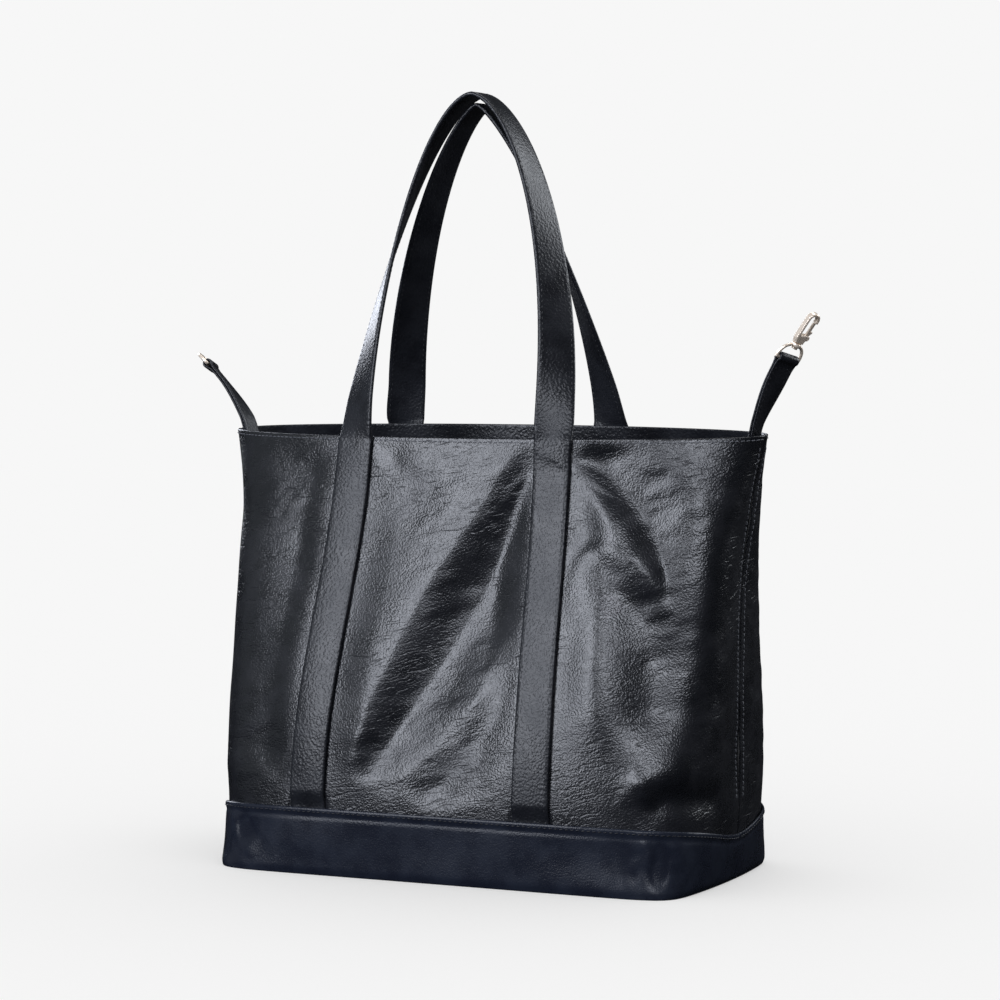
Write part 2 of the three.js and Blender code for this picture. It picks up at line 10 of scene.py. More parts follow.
import bpy
import numpy as np
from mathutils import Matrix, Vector


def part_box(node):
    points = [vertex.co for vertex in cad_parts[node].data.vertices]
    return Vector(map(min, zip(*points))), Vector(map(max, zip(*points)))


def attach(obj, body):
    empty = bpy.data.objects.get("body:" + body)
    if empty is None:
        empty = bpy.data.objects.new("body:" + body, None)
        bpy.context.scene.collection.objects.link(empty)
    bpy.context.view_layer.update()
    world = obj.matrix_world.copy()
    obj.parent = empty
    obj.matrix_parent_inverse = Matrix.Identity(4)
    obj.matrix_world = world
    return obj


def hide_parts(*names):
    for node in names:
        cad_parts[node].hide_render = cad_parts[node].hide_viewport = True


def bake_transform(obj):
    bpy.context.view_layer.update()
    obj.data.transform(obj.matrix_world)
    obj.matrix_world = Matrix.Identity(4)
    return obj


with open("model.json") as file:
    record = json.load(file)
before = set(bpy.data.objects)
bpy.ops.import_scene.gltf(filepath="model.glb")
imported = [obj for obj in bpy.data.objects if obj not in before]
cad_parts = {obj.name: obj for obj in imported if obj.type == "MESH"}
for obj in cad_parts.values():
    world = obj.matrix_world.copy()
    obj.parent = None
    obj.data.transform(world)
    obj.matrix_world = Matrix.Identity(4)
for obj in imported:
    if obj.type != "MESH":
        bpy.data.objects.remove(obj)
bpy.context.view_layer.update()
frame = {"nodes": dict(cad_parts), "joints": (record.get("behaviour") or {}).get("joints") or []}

# %% [markdown]
# The camera comes first, so every later step can be judged through it. The bag was seen from a little to the right
# of its front and from just above its middle, with a long lens. A long lens keeps the rim and the base nearly
# parallel, which a wide lens up close would not.

# %% Camera
turn_to_right = math.radians(24.7)
camera_distance = 2.502
camera_height = 0.417
aim_height = 0.286
aim_across = 0.005

across_view = Vector((math.cos(turn_to_right), math.sin(turn_to_right), 0))
camera_data = bpy.data.cameras.new("studio_camera")
camera_data.lens = 115.2
camera_data.sensor_width = 36
camera = bpy.data.objects.new("studio_camera", camera_data)
bpy.context.scene.collection.objects.link(camera)
camera.location = (
    camera_distance * math.sin(turn_to_right),
    -camera_distance * math.cos(turn_to_right),
    camera_height,
)
aim = across_view * aim_across + Vector((0, 0, aim_height))
camera.rotation_mode = "QUATERNION"
camera.rotation_quaternion = (aim - camera.location).to_track_quat("-Z", "Y")
bpy.context.scene.camera = camera
print("camera at", [round(c, 3) for c in camera.location])

# %% [markdown]
# The walls of the bag are one smooth shape: a squarish base that turns into a long lens at the rim. A modeller
# could pull it out of a box by hand, but the same few curves as the CAD model's keep every layer in its place, and
# points can then be asked for at any fineness. Lengths here are in millimetres and turn to metres at the very end.

# %% The walls' curves
body_height = 340.0
base_width, base_depth = 400.0, 222.0
rim_width, rim_depth = 452.0, 104.0
rim_rise = 4.0
side_bulge = 0.042
foot_splay, flare_power = 0.65, 10
lean_from, lean_to = 0.13, 1.05
base_squareness, wall_squareness, rim_squareness = 12, 5, 2.2
foot_rounding, rim_rounding = 14, 7
band_height, band_dip = 52.0, 15.0
lap_seam = 8.0
leather, facing_leather, cloth = 1.4, 1.2, 0.6
gap, layer_gap = 0.3, 0.6
facing_height = 42.0
board_thickness = 2.5
band_stand = leather + layer_gap
facing_inset = leather + layer_gap
lining_inset = leather + 2 * layer_gap
lining_floor = leather + board_thickness + cloth + 3 * gap


def smooth(low, high, x):
    share = np.clip((np.asarray(x, float) - low) / (high - low), 0, 1)
    return share * share * (3 - 2 * share)


def lerp(a, b, share):
    return a + (b - a) * share


def half_width_at(z):
    t = np.maximum(z, 0) / body_height
    splay = foot_splay * np.sqrt(t) + (1 - foot_splay) * t**flare_power
    return lerp(base_width / 2 - band_stand, rim_width / 2, splay)


def half_depth_at(z):
    lean = smooth(lean_from, lean_to, z / body_height) / smooth(lean_from, lean_to, 1)
    return lerp(base_depth / 2 - band_stand, rim_depth / 2, lean)


def squareness_at(z):
    t = np.maximum(z, 0) / body_height
    foot = lerp(1 / base_squareness, 1 / wall_squareness, 1 - np.exp(-foot_rounding * t))
    return 1 / (foot + (1 / rim_squareness - 1 / wall_squareness) * t**rim_rounding)


def wall_at(angle, z, inset):
    n = squareness_at(z)
    c, s = np.cos(angle), np.sin(angle)
    reach = (np.abs(c) ** n + np.abs(s) ** n) ** (-1 / n)
    x = (half_width_at(z) - inset) * reach * c * (1 - side_bulge * (reach * s) ** 2)
    return np.stack([x, (half_depth_at(z) - inset) * reach * s, z + 0 * x], -1)


def wall_depth(x, z):
    n = squareness_at(z)
    across = np.minimum(np.abs(x / (half_width_at(z) * (1 - side_bulge))), 0.999)
    return half_depth_at(z) * (1 - across**n) ** (1 / n)


def rim_at(angle):
    return body_height + rim_rise * np.sin(angle)


def band_top_at(angle):
    return band_height - band_dip * np.abs(np.cos(angle)) ** 6


panel_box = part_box("front_panel")
print("rim half width: curves", rim_width / 2, "frame", round(1000 * panel_box[1].x, 1))

# %% [markdown]
# Soft leather never stands flat. Loose leather between stiff seams buckles into a few long folds, and each fold
# runs from where the leather is held, here the straps and the rim, towards a corner of the base. Sculpting would do
# it, and so would a cloth simulation, but neither puts a fold where the real bag has it. So the folds are drawn,
# each along a line on the wall. A small one is a ridge or a valley. A long one is a drop: the leather stands proud
# on one side of the line, falls across it, and eases back to the plain wall far off on both sides. All of them add
# up to how far the wall stands out. Every layer uses the same folds, so no layer pokes through the next.

# %% Noise and unrolled wall
lattice_size = 64
lattice = np.random.default_rng(7).uniform(-1, 1, (8, lattice_size, lattice_size))


def noise(u, v, layer=0):
    """Smooth random values from -1 to 1 over a plane."""
    i, j = np.floor(u).astype(int), np.floor(v).astype(int)
    a, b = u - i, v - j
    a, b = a * a * a * (a * (6 * a - 15) + 10), b * b * b * (b * (6 * b - 15) + 10)
    values = lattice[layer % 8]
    corner = lambda p, q: values[(i + p) % lattice_size, (j + q) % lattice_size]
    return lerp(lerp(corner(0, 0), corner(1, 0), a), lerp(corner(0, 1), corner(1, 1), a), b)


def unrolled_table(heights=90, steps=700):
    """Distance along the wall from its middle, at an x, for one quarter of a section, over all heights."""
    z = np.linspace(0, body_height + rim_rise, heights)[:, None]
    angle = np.linspace(np.pi / 2, 1e-3, steps)[None, :]
    p = wall_at(angle, z + 0 * angle, 0)
    length = np.hypot(*np.moveaxis(np.diff(p[..., :2], axis=1), -1, 0)).cumsum(1)
    return z[:, 0], p[..., 0], np.concatenate([np.zeros((heights, 1)), length], 1)


table_z, table_x, table_u = unrolled_table()


def unrolled(x, z):
    """Distance round the wall from its middle to a point of its front or back face."""
    x, z = np.broadcast_arrays(np.asarray(x, float), np.asarray(z, float))
    row = np.clip(np.searchsorted(table_z, z.ravel()) - 1, 0, len(table_z) - 2)
    share = (z.ravel() - table_z[row]) / (table_z[row + 1] - table_z[row])
    out = np.empty(x.size)
    for k in np.unique(row):
        here = row == k
        low, high = (np.interp(np.abs(x.ravel()[here]), table_x[m], table_u[m]) for m in (k, k + 1))
        out[here] = lerp(low, high, share[here])
    return np.sign(x) * out.reshape(x.shape)


print("half section at the rim is", round(2 * float(table_u[-1, -1])), "mm round")

# %% [markdown]
# A fold needs one thing from its line: how far each point of the wall is from it, and on which side. A height across
# the line is then a simple curve of that distance: a bell for a ridge, and an eased step for a drop.

# %% Drawing folds


def curved(line, steps=5):
    """The points of a smooth curve through a line's own points."""
    p = np.array(line, float)
    p = np.concatenate([[2 * p[0] - p[1]], p, [2 * p[-1] - p[-2]]])
    t = np.arange(steps)[:, None] / steps
    spans = [
        0.5 * (2 * b + (c - a) * t + (2 * a - 5 * b + 4 * c - d) * t**2 + (3 * b - a - 3 * c + d) * t**3)
        for a, b, c, d in zip(p[:-3], p[1:-2], p[2:-1], p[3:])
    ]
    return np.concatenate(spans + [p[-2:-1]])


def along_line(u, z, line):
    """Signed distance from a line drawn on the wall, positive to its right going down it, and the share of the
    line passed. The line's points are (x, z) on the wall's face."""
    points = np.array([(unrolled(x, h), h) for x, h in curved(line)], float)
    lengths = np.hypot(*np.diff(points, axis=0).T)
    passed = np.concatenate([[0], lengths.cumsum()]) / lengths.sum()
    best = np.full(u.shape, 1e9)
    side, share = np.zeros(u.shape), np.zeros(u.shape)
    for k, (a, b) in enumerate(zip(points[:-1], points[1:])):
        d = (b - a) / np.hypot(*(b - a))
        along = (u - a[0]) * d[0] + (z - a[1]) * d[1]
        held = np.clip(along, 0, lengths[k])
        off = np.hypot(u - a[0] - held * d[0], z - a[1] - held * d[1])
        cross = -(u - a[0]) * d[1] + (z - a[1]) * d[0]
        near = off < best
        best = np.where(near, off, best)
        side = np.where(near, np.sign(cross) * off, side)
        share = np.where(near, lerp(passed[k], passed[k + 1], held / lengths[k]), share)
    return side, share


def spread(values, share):
    """A value that goes through the given ones, evenly spaced along a line."""
    return np.interp(share, np.linspace(0, 1, np.size(values)), np.atleast_1d(values))


def faded(share, taper):
    """Rises from 0 at a line's start and falls back at its end, over these shares of its length."""
    return smooth(0, taper[0], share) * (1 - smooth(1 - taper[1], 1, share))


def fold(u, z, line, width, height, lopsided=1.0, taper=(0.15, 0.15)):
    """A ridge (height above 0) or a valley (below 0) along a line. Lopsided above 1 makes its right flank steeper
    than its left."""
    side, share = along_line(u, z, line)
    w = spread(width, share)
    w = np.where(side > 0, w / lopsided, w * lopsided)
    return spread(height, share) * np.exp(-(side / w) ** 2) * faded(share, taper)


def drop(u, z, line, width, height, left=60.0, right=70.0, share_up=0.45, taper=(0.1, 0.25)):
    """A slope that falls from left to right across a line, as wide as width, with gentle runs back to the plain wall
    on both sides, left and right long. Share_up of it stands proud. With a height below 0 it rises instead."""
    side, share = along_line(u, z, line)
    w, share_up = spread(width, share), spread(share_up, share)
    h = spread(height, share) * faded(share, taper)
    run_left = share_up * (1 - smooth(0, left, -w / 2 - side))
    run_right = -(1 - share_up) * (1 - smooth(0, right, side - w / 2))
    slope = share_up - smooth(-w / 2, w / 2, side)
    return h * np.where(side < -w / 2, run_left, np.where(side > w / 2, run_right, slope))


print("a curve through 3 points has", len(curved([(0, 0), (1, 2), (2, 0)])), "points")

# %% [markdown]
# The straps are sewn flat on the walls and hold the leather still beside them, so the folds have to know where they
# run. Their ends are pared thin and tucked behind the band. All sizes are the CAD model's.

# %% Straps on the walls
strap_width, strap_thickness = 30.0, 3.2
handle_shift, handle_shift_at_band = -11.0, -14.0
spacing_at_band = 188.0
handle_spacing, handle_spread = 168.0, 10.0
spacing_at_rim = {-1: handle_spacing, 1: handle_spacing + handle_spread}
tuck_depth, tucked_thickness, tucked_length, tuck_run = 1.3, 1.3, 5.0, 14.0


def rim_by(side):
    return body_height + side * rim_rise


def leg_centre(side, leg, z):
    """The x of a strap's middle: side -1 is the front, leg -1 the left one."""
    ease = smooth(0, 1, (z - band_height) / (rim_by(side) - band_height))
    half = lerp(spacing_at_band, spacing_at_rim[side], ease) / 2
    return lerp(handle_shift_at_band, handle_shift, ease) + leg * half


def from_leg(u, z, side, leg):
    return np.abs(u - unrolled(leg_centre(side, leg, z), z))


def strap_tuck(u, z, side):
    """The wall is pressed in where a strap's thinned end goes down behind the band."""
    tuck = 0
    for leg in (-1, 1):
        tuck = tuck + tuck_depth * (1 - smooth(strap_width / 2, strap_width / 2 + 4, from_leg(u, z, side, leg)))
    return tuck * (1 - smooth(band_height, band_height + tuck_run, z))


print("front straps meet the rim at x", [round(float(leg_centre(-1, leg, rim_by(-1)))) for leg in (-1, 1)])

# %% The walls' folds


def front_folds(u, z):
    """Folds of the front wall, seen from the front: x grows to the right."""
    # The longest one falls from the right strap's top to the left strap's foot: the leather drops across it.
    main = [(58, 336), (50, 320), (31, 275), (8, 235), (-13, 192), (-33, 151), (-50, 115), (-62, 90), (-72, 68)]
    d = drop(
        u, z, main, [18, 34, 44, 42, 34, 16], [6, 14, 17.5, 16, 12, 5],
        left=100, right=80, share_up=[0.2, 0.25, 0.35, 0.45, 0.5], taper=(0.04, 0.14),
    )
    # A second one runs beside it, lower down and shallower.
    second = [(62, 200), (50, 170), (37, 134), (9, 100), (-17, 70), (-28, 56)]
    d += drop(u, z, second, [20, 30, 30], [3, 6, 4.5], left=36, right=40, taper=(0.3, 0.15))
    # From the right strap's top a crest bows down to the right, with a deep crescent behind it.
    crescent = [(88, 322), (111, 303), (131, 283), (149, 261), (161, 242), (170, 222), (179, 200)]
    d += drop(
        u, z, crescent, [12, 24, 24, 14, 8], [4, 9, 9, 5.5, 2],
        left=26, right=45, share_up=0.4, taper=(0.06, 0.3),
    )
    # Under the crest an arched ridge stands over a shallow hollow.
    arched = [(98, 180), (98, 212), (100, 235), (106, 248), (118, 254), (134, 250), (148, 240), (158, 226), (166, 208)]
    d += fold(u, z, arched, [13, 12, 10, 8], [2.5, 3.5, 2.5, 0.8], lopsided=1.4, taper=(0.3, 0.45))
    hollow = [(124, 246), (136, 210), (145, 172), (149, 130), (151, 92)]
    d += drop(
        u, z, hollow, [18, 38, 48, 46, 40], [3, 10, 14, 12, 7],
        left=40, right=60, share_up=0.25, taper=(0.3, 0.3),
    )
    # The wall turns back a little to the left of the left strap.
    turn = [(-116, 334), (-124, 240), (-130, 150), (-134, 70)]
    d += drop(u, z, turn, [34, 40], [-4, -6, -5], left=70, right=20, share_up=0.6, taper=(0.04, 0.1))
    # Small ones: beside the straps' tops, under the rim, and at the right of the band.
    d += fold(u, z, [(54, 314), (42, 297), (32, 280)], [4], [1.3], taper=(0.3, 0.4))
    d += fold(u, z, [(84, 328), (118, 328), (156, 334)], [12, 11, 7], [-5.5, -5.0, -1.5], taper=(0.05, 0.4))
    d += drop(u, z, [(-84, 338), (-68, 318), (-50, 306)], [16, 12], [4.5, 2.0], left=20, right=40, taper=(0.05, 0.5))
    d += fold(u, z, [(148, 64), (160, 80), (176, 90), (200, 92)], [11, 13], [2.5, 3.0], taper=(0.35, 0.3))
    d += fold(u, z, [(162, 62), (182, 70), (205, 66)], [10, 13], [-3.5, -4.5], taper=(0.2, 0.2))
    d += fold(u, z, [(158, 100), (168, 76), (176, 62)], [5], [1.8], taper=(0.4, 0.3))
    d += fold(u, z, [(-100, 336), (-133, 326), (-160, 316)], [5, 7], [2.0, 1.2], lopsided=0.8, taper=(0.1, 0.5))
    return d


def back_folds(u, z):
    """Folds of the back wall, in the same coordinates: x still grows to the bag's +X side."""
    main = [(-60, 335), (-38, 290), (-8, 240), (20, 185), (44, 130), (60, 80)]
    d = fold(u, z, main, [18, 26, 22], [-3, -6, -3], taper=(0.1, 0.2))
    d += fold(u, z, [(-20, 315), (14, 250), (48, 180), (76, 110)], [24, 30], [4, 4], taper=(0.25, 0.3))
    d += fold(u, z, [(-80, 260), (-52, 190), (-30, 120)], [18, 24], [3.5, 3], taper=(0.3, 0.3))
    right = [(95, 318), (125, 282), (150, 236), (160, 190)]
    d += fold(u, z, right, [9, 8], [3.5, 2.5], lopsided=1.4, taper=(0.2, 0.3))
    left = [(-104, 316), (-136, 276), (-150, 220)]
    d += fold(u, z, left, [9, 9], [3.0, 2.0], lopsided=1.3, taper=(0.2, 0.4))
    d += fold(u, z, [(110, 150), (140, 100), (165, 70)], [12, 14], [-3, -3], taper=(0.4, 0.3))
    return d


def side_folds(u, z, side):
    """Folds of the walls' ends: the gussets sag in below the rim and buckle above the band."""
    from_seam = np.interp(z, table_z, table_u[:, -1]) - np.abs(u)
    end = np.sign(u)
    near = lambda reach: np.exp(-(from_seam / reach) ** 2)
    pinch = -5.0 * near(34) * smooth(60, 150, z) * (1 - smooth(215, 325, z))
    buckle = 0.8 * np.sin(z / 21 + 1.2 * end + 0.7 * side + 1.6 * noise(z / 60 + 9, u / 90)) * near(30)
    buckle = buckle * smooth(60, 110, z) * (1 - smooth(280, 332, z))
    fanned = 0.9 * np.sin(from_seam / 7 + z / 30 + end) * np.exp(-((z - 300) / 22) ** 2) * near(45)
    return pinch + buckle + fanned


hold_by_strap, hold_by_rim = 0.75, 0.8


def wall_folds(u, z, side):
    """How far the wall stands out from its plain shape, in millimetres."""
    d = front_folds(u, z) if side < 0 else back_folds(u, z)
    seed = 11.0 if side < 0 else 37.0
    d = d + 1.2 * noise(u / 70 + seed, z / 90 + seed, 1) + 0.7 * noise(u / 33 + seed, z / 41, 2)
    slanted = noise((u + 0.35 * z) / 24 + seed, (z - 0.3 * u) / 10, 3)
    finer = noise((u + 0.3 * z) / 11 + seed, (z - 0.35 * u) / 5.5, 6)
    loose = smooth(-0.35, 0.4, noise(u / 55, z / 60 + seed, 4))
    d = d + (0.36 * slanted + 0.15 * finer) * loose
    d = d + side_folds(u, z, side)
    for leg in (-1, 1):
        held = 1 - smooth(strap_width / 2 - 4, strap_width / 2 + 32, from_leg(u, z, side, leg))
        d = d * (1 - hold_by_strap * held)
    held_low = smooth(band_height - 4, band_height + 26, z)
    held_high = 1 - hold_by_rim * smooth(rim_by(side) - 26, rim_by(side), z)
    return d * held_low * held_high - strap_tuck(u, z, side)


front_spots = np.meshgrid(np.arange(-230, 230, 4.0), np.arange(60, 340, 4.0))
front_depths = wall_folds(*front_spots, -1)
print("deepest and highest fold:", round(float(front_depths.min()), 1), round(float(front_depths.max()), 1))

# %% [markdown]
# Every flat piece of leather or cloth here is a closed slab with a rounded edge, as a cut piece has. An open sheet
# with a Solidify modifier would be quicker, but its rim is square. The slab is two grids of points joined round
# their border by a half round of a few steps. Straps and wires are bands swept through rings of points.

# %% Closed slabs and swept bands


def mesh_piece(name, points, faces):
    """A mesh object from points in millimetres and faces of three or four corners."""
    mesh = bpy.data.meshes.new(name)
    points = np.asarray(points, float) / 1000
    groups = [np.asarray(f, int) for f in (faces if isinstance(faces, list) else [faces]) if len(f)]
    corners = np.concatenate([f.ravel() for f in groups])
    sizes = np.concatenate([np.full(len(f), f.shape[1]) for f in groups])
    mesh.vertices.add(len(points))
    mesh.vertices.foreach_set("co", points.astype(np.float32).ravel())
    mesh.loops.add(len(corners))
    mesh.loops.foreach_set("vertex_index", corners.astype(np.int32))
    mesh.polygons.add(len(sizes))
    mesh.polygons.foreach_set("loop_start", np.concatenate([[0], sizes.cumsum()[:-1]]).astype(np.int32))
    mesh.update(calc_edges=True)
    mesh.shade_smooth()
    piece = bpy.data.objects.new(name, mesh)
    bpy.context.scene.collection.objects.link(piece)
    return piece


def border_of(rows, columns):
    """Indices of a grid's border, once round."""
    index = np.arange(rows * columns).reshape(rows, columns)
    return np.concatenate([index[:-1, 0], index[-1, :-1], index[:0:-1, -1], index[0, :0:-1]])


def slab(outer, inner, round_steps=4):
    """Points and faces of a closed slab between two grids of points, its border rounded outwards."""
    rows, columns = outer.shape[:2]
    index = np.arange(rows * columns).reshape(rows, columns)
    quads = np.stack([index[:-1, :-1], index[1:, :-1], index[1:, 1:], index[:-1, 1:]], -1).reshape(-1, 4)
    border = border_of(rows, columns)
    a, b = outer.reshape(-1, 3), inner.reshape(-1, 3)
    middle = (outer + inner) / 2
    out = np.zeros_like(middle)
    for axis in (0, 1):
        step = np.diff(middle, axis=axis)
        step /= np.linalg.norm(step, axis=-1, keepdims=True)
        first, last = (slice(None),) * axis + (0,), (slice(None),) * axis + (-1,)
        out[first] -= step[first]
        out[last] += step[last]
    out = out.reshape(-1, 3)[border]
    out /= np.linalg.norm(out, axis=-1, keepdims=True)
    half = (a[border] - b[border]) / 2
    size = np.linalg.norm(half, axis=-1, keepdims=True)
    centre = middle.reshape(-1, 3)[border]
    rings = [border]
    points = [a, b]
    count = 2 * rows * columns
    for k in range(1, round_steps):
        t = math.pi * k / round_steps
        points.append(centre + half * math.cos(t) + out * size * math.sin(t))
        rings.append(count + np.arange(len(border)))
        count += len(border)
    rings.append(border + rows * columns)
    edge = [np.stack([r, np.roll(r, -1), np.roll(s, -1), s], -1) for r, s in zip(rings, rings[1:])]
    faces = np.concatenate([quads, quads[:, ::-1] + rows * columns, *(e[:, ::-1] for e in edge)])
    points = np.concatenate(points)
    return points, outward(points, faces)


def outward(points, quads):
    """The faces, turned round if they enclose their volume inside out."""
    p = points[quads]
    volume = np.einsum("ij,ij->i", p[:, 0], np.cross(p[:, 1], p[:, 2])).sum()
    volume += np.einsum("ij,ij->i", p[:, 0], np.cross(p[:, 2], p[:, 3])).sum()
    return quads if volume > 0 else quads[:, ::-1]


def swept(sections, closed=False):
    """Points and faces of a band through rings of points, its ends closed by fans of quads."""
    count, around = sections.shape[:2]
    index = np.arange(count * around).reshape(count, around)
    nxt = np.roll(index, -1, axis=1)
    rows = (index, nxt) if not closed else (np.vstack([index, index[:1]]), np.vstack([nxt, nxt[:1]]))
    quads = np.stack([rows[0][:-1], rows[1][:-1], rows[1][1:], rows[0][1:]], -1).reshape(-1, 4)
    points = sections.reshape(-1, 3)
    if not closed:
        caps = []
        for ring, flip in ((index[0], False), (index[-1], True)):
            k = np.arange(around // 2 - 1)
            cap = np.stack([ring[k], ring[k + 1], ring[around - 2 - k], ring[around - 1 - k]], -1)
            caps.append(cap if flip else cap[:, ::-1])
        quads = np.concatenate([quads, *caps])
    return points, outward(points, quads)


def finish_piece(piece, body, material, slot, replaces=()):
    piece.data.materials.append(material)
    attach(piece, body)
    if replaces:
        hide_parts(*replaces)
    return piece


print("the border of a grid of 3 by 3 has", len(border_of(3, 3)), "points")

# %% [markdown]
# The finishes. Faux leather has three things to see: a fine pebble grain, small creases where it bends, and a thin
# clear top coat that is smoother than the grain. The first two come from one node group, used by the wall leather,
# the strap leather and the band leather with different strengths. The group gives only a height and masks, and each
# material keeps its own shader, which is where its gloss is set.

# %% Leather grain group


def new_group(name, inputs, outputs):
    group = bpy.data.node_groups.new(name, "ShaderNodeTree")
    for label, kind, value in inputs:
        socket = group.interface.new_socket(label, in_out="INPUT", socket_type=kind)
        if value is not None:
            socket.default_value = value
    for label, kind in outputs:
        group.interface.new_socket(label, in_out="OUTPUT", socket_type=kind)
    return group, group.nodes.new("NodeGroupInput"), group.nodes.new("NodeGroupOutput")


class Nodes:
    """A short way to add linked nodes to a tree."""

    def __init__(self, tree):
        self.tree = tree

    def feed(self, node, sources):
        """Links each source to the node's socket, or sets it there when it is a plain value."""
        for socket, source in sources.items():
            if isinstance(source, bpy.types.NodeSocket):
                self.tree.links.new(source, node.inputs[socket])
            else:
                node.inputs[socket].default_value = source

    def add(self, kind, sources=None, **settings):
        node = self.tree.nodes.new(kind)
        for key, value in settings.items():
            setattr(node, key, value)
        self.feed(node, sources or {})
        return node

    def math(self, operation, a, b=0.0, clamp=False):
        return self.add("ShaderNodeMath", {0: a, 1: b}, operation=operation, use_clamp=clamp).outputs[0]

    def ramp(self, source, low, high, to_low=0.0, to_high=1.0):
        """An eased step from one value to another."""
        node = self.add(
            "ShaderNodeMapRange",
            {"Value": source, "From Min": low, "From Max": high, "To Min": to_low, "To Max": to_high},
            interpolation_type="SMOOTHSTEP",
        )
        return node.outputs["Result"]

    def noise(self, where, scale, detail=2.0, **more):
        sources = {"Vector": where, "Scale": scale, "Detail": detail, **more}
        return self.add("ShaderNodeTexNoise", sources).outputs["Fac"]

    def colours(self, share, first, second):
        node = self.add("ShaderNodeMix", {"Factor": share, 6: first + (1,), 7: second + (1,)}, data_type="RGBA")
        return node.outputs[2]

    def relief(self, height, strength, depth):
        return self.add("ShaderNodeBump", {"Height": height, "Strength": strength, "Distance": depth}).outputs[0]


crease_slant = 0.28
pebble_relief, crease_relief = 0.32, 0.55


def crease_family(n, where, level, per_metre, wander, seed, narrow, weight):
    """Valleys at even steps of a slanted height. One noise makes them wander, another breaks them into lengths."""

    def stretched(place, scale):
        node = n.add(
            "ShaderNodeMapping",
            {"Vector": where, "Location": place, "Rotation": (0.0, -crease_slant, 0.0), "Scale": scale},
        )
        return node.outputs[0]

    drift = n.noise(stretched((seed, seed, seed), (22.0, 22.0, 75.0)), 1.0, 3.0, Roughness=0.6)
    step = n.math("ADD", n.math("MULTIPLY", level, per_metre), n.math("MULTIPLY", drift, wander))
    beside = n.math("ABSOLUTE", n.math("SUBTRACT", n.math("FRACT", step), 0.5))
    broken = n.noise(stretched((seed, 2.0, seed), (50.0, 50.0, 190.0)), 1.0, 1.0)
    strength = n.math("MULTIPLY", n.ramp(broken, 0.46, 0.66), weight)
    return n.math("MULTIPLY", n.ramp(beside, narrow, 0.0), strength)


def grain_group():
    group, given, made = new_group(
        "leather_grain",
        [
            ("Position", "NodeSocketVector", None),
            ("Pebble size", "NodeSocketFloat", 900.0),
            ("Creasing", "NodeSocketFloat", 1.0),
        ],
        [("Height", "NodeSocketFloat"), ("Creases", "NodeSocketFloat"), ("Mottle", "NodeSocketFloat")],
    )
    n = Nodes(group)
    where, size = given.outputs["Position"], given.outputs["Pebble size"]
    pebbles = n.add("ShaderNodeTexVoronoi", {"Vector": where, "Scale": size, "Randomness": 1.0}, feature="SMOOTH_F1")
    pebble = n.ramp(pebbles.outputs["Distance"], 0.75, 0.1)
    # Creases are long, nearly level, and rise a little to the right. A coarse family and a fine one lie together.
    parts = n.add("ShaderNodeSeparateXYZ", {"Vector": where})
    along = n.math("ADD", parts.outputs["X"], parts.outputs["Y"])
    level = n.math("SUBTRACT", parts.outputs["Z"], n.math("MULTIPLY", along, crease_slant))
    coarse = crease_family(n, where, level, 150.0, 3.0, 0.0, 0.16, 1.0)
    fine = crease_family(n, where, level, 330.0, 5.0, 4.3, 0.22, 0.55)
    patch = n.ramp(n.noise(where, 12.0), 0.38, 0.62, 0.15, 1.0)
    creases = n.math("MULTIPLY", n.math("MAXIMUM", coarse, fine), patch)
    creases = n.math("MULTIPLY", creases, given.outputs["Creasing"])
    height = n.math(
        "SUBTRACT", n.math("MULTIPLY", pebble, pebble_relief), n.math("MULTIPLY", creases, crease_relief)
    )
    n.feed(made, {"Height": height, "Creases": creases, "Mottle": n.noise(where, 35.0, 4.0, Roughness=0.6)})
    return group


leather_grain = grain_group()
print("leather grain group has", len(leather_grain.nodes), "nodes")

# %% [markdown]
# Near-black leather is almost all gloss: its own colour is a few thousandths, with a touch of blue, and what shows is
# what it mirrors. The walls are the glossiest, the straps have larger pebbles and the band fewer creases. Roughness
# rises a little in the creases, where the gloss has cracked.

# %% Leather materials


def new_material(name):
    material = bpy.data.materials.new(name)
    material.use_nodes = True
    material.node_tree.nodes.clear()
    n = Nodes(material.node_tree)
    shader = n.add("ShaderNodeBsdfPrincipled")
    n.add("ShaderNodeOutputMaterial", {"Surface": shader.outputs[0]})
    return material, n, shader, n.add("ShaderNodeTexCoord").outputs["Object"]


def leather_material(name, dark, light, rough, pebble, creasing, bump, coat, shine):
    material, n, shader, place = new_material(name)
    grain = n.add(
        "ShaderNodeGroup", {"Position": place, "Pebble size": pebble, "Creasing": creasing}, node_tree=leather_grain
    )
    mottle = grain.outputs["Mottle"]
    uneven = n.ramp(mottle, 0.3, 0.7, rough - 0.04, rough + 0.05)
    worn = n.math("ADD", uneven, n.math("MULTIPLY", grain.outputs["Creases"], 0.1), clamp=True)
    n.feed(shader, {
        "Base Color": n.colours(n.ramp(mottle, 0.35, 0.65), dark, light),
        "Roughness": worn,
        "Normal": n.relief(grain.outputs["Height"], bump, 0.0006),
        "Coat Weight": coat,
        "Coat Roughness": 0.32,
        "Specular IOR Level": shine,
    })
    return material


wall_leather = leather_material(
    "wall_leather", (0.0035, 0.004, 0.0055), (0.0065, 0.007, 0.0095),
    rough=0.28, pebble=760.0, creasing=1.0, bump=0.7, coat=0.1, shine=0.5,
)
strap_leather = leather_material(
    "strap_leather", (0.005, 0.0055, 0.0075), (0.009, 0.010, 0.013),
    rough=0.32, pebble=560.0, creasing=0.12, bump=0.85, coat=0.05, shine=0.3,
)
band_leather = leather_material(
    "band_leather", (0.006, 0.0075, 0.013), (0.009, 0.0115, 0.019),
    rough=0.28, pebble=900.0, creasing=0.25, bump=0.3, coat=0.0, shine=0.22,
)
print("leathers:", wall_leather.name, strap_leather.name, band_leather.name)

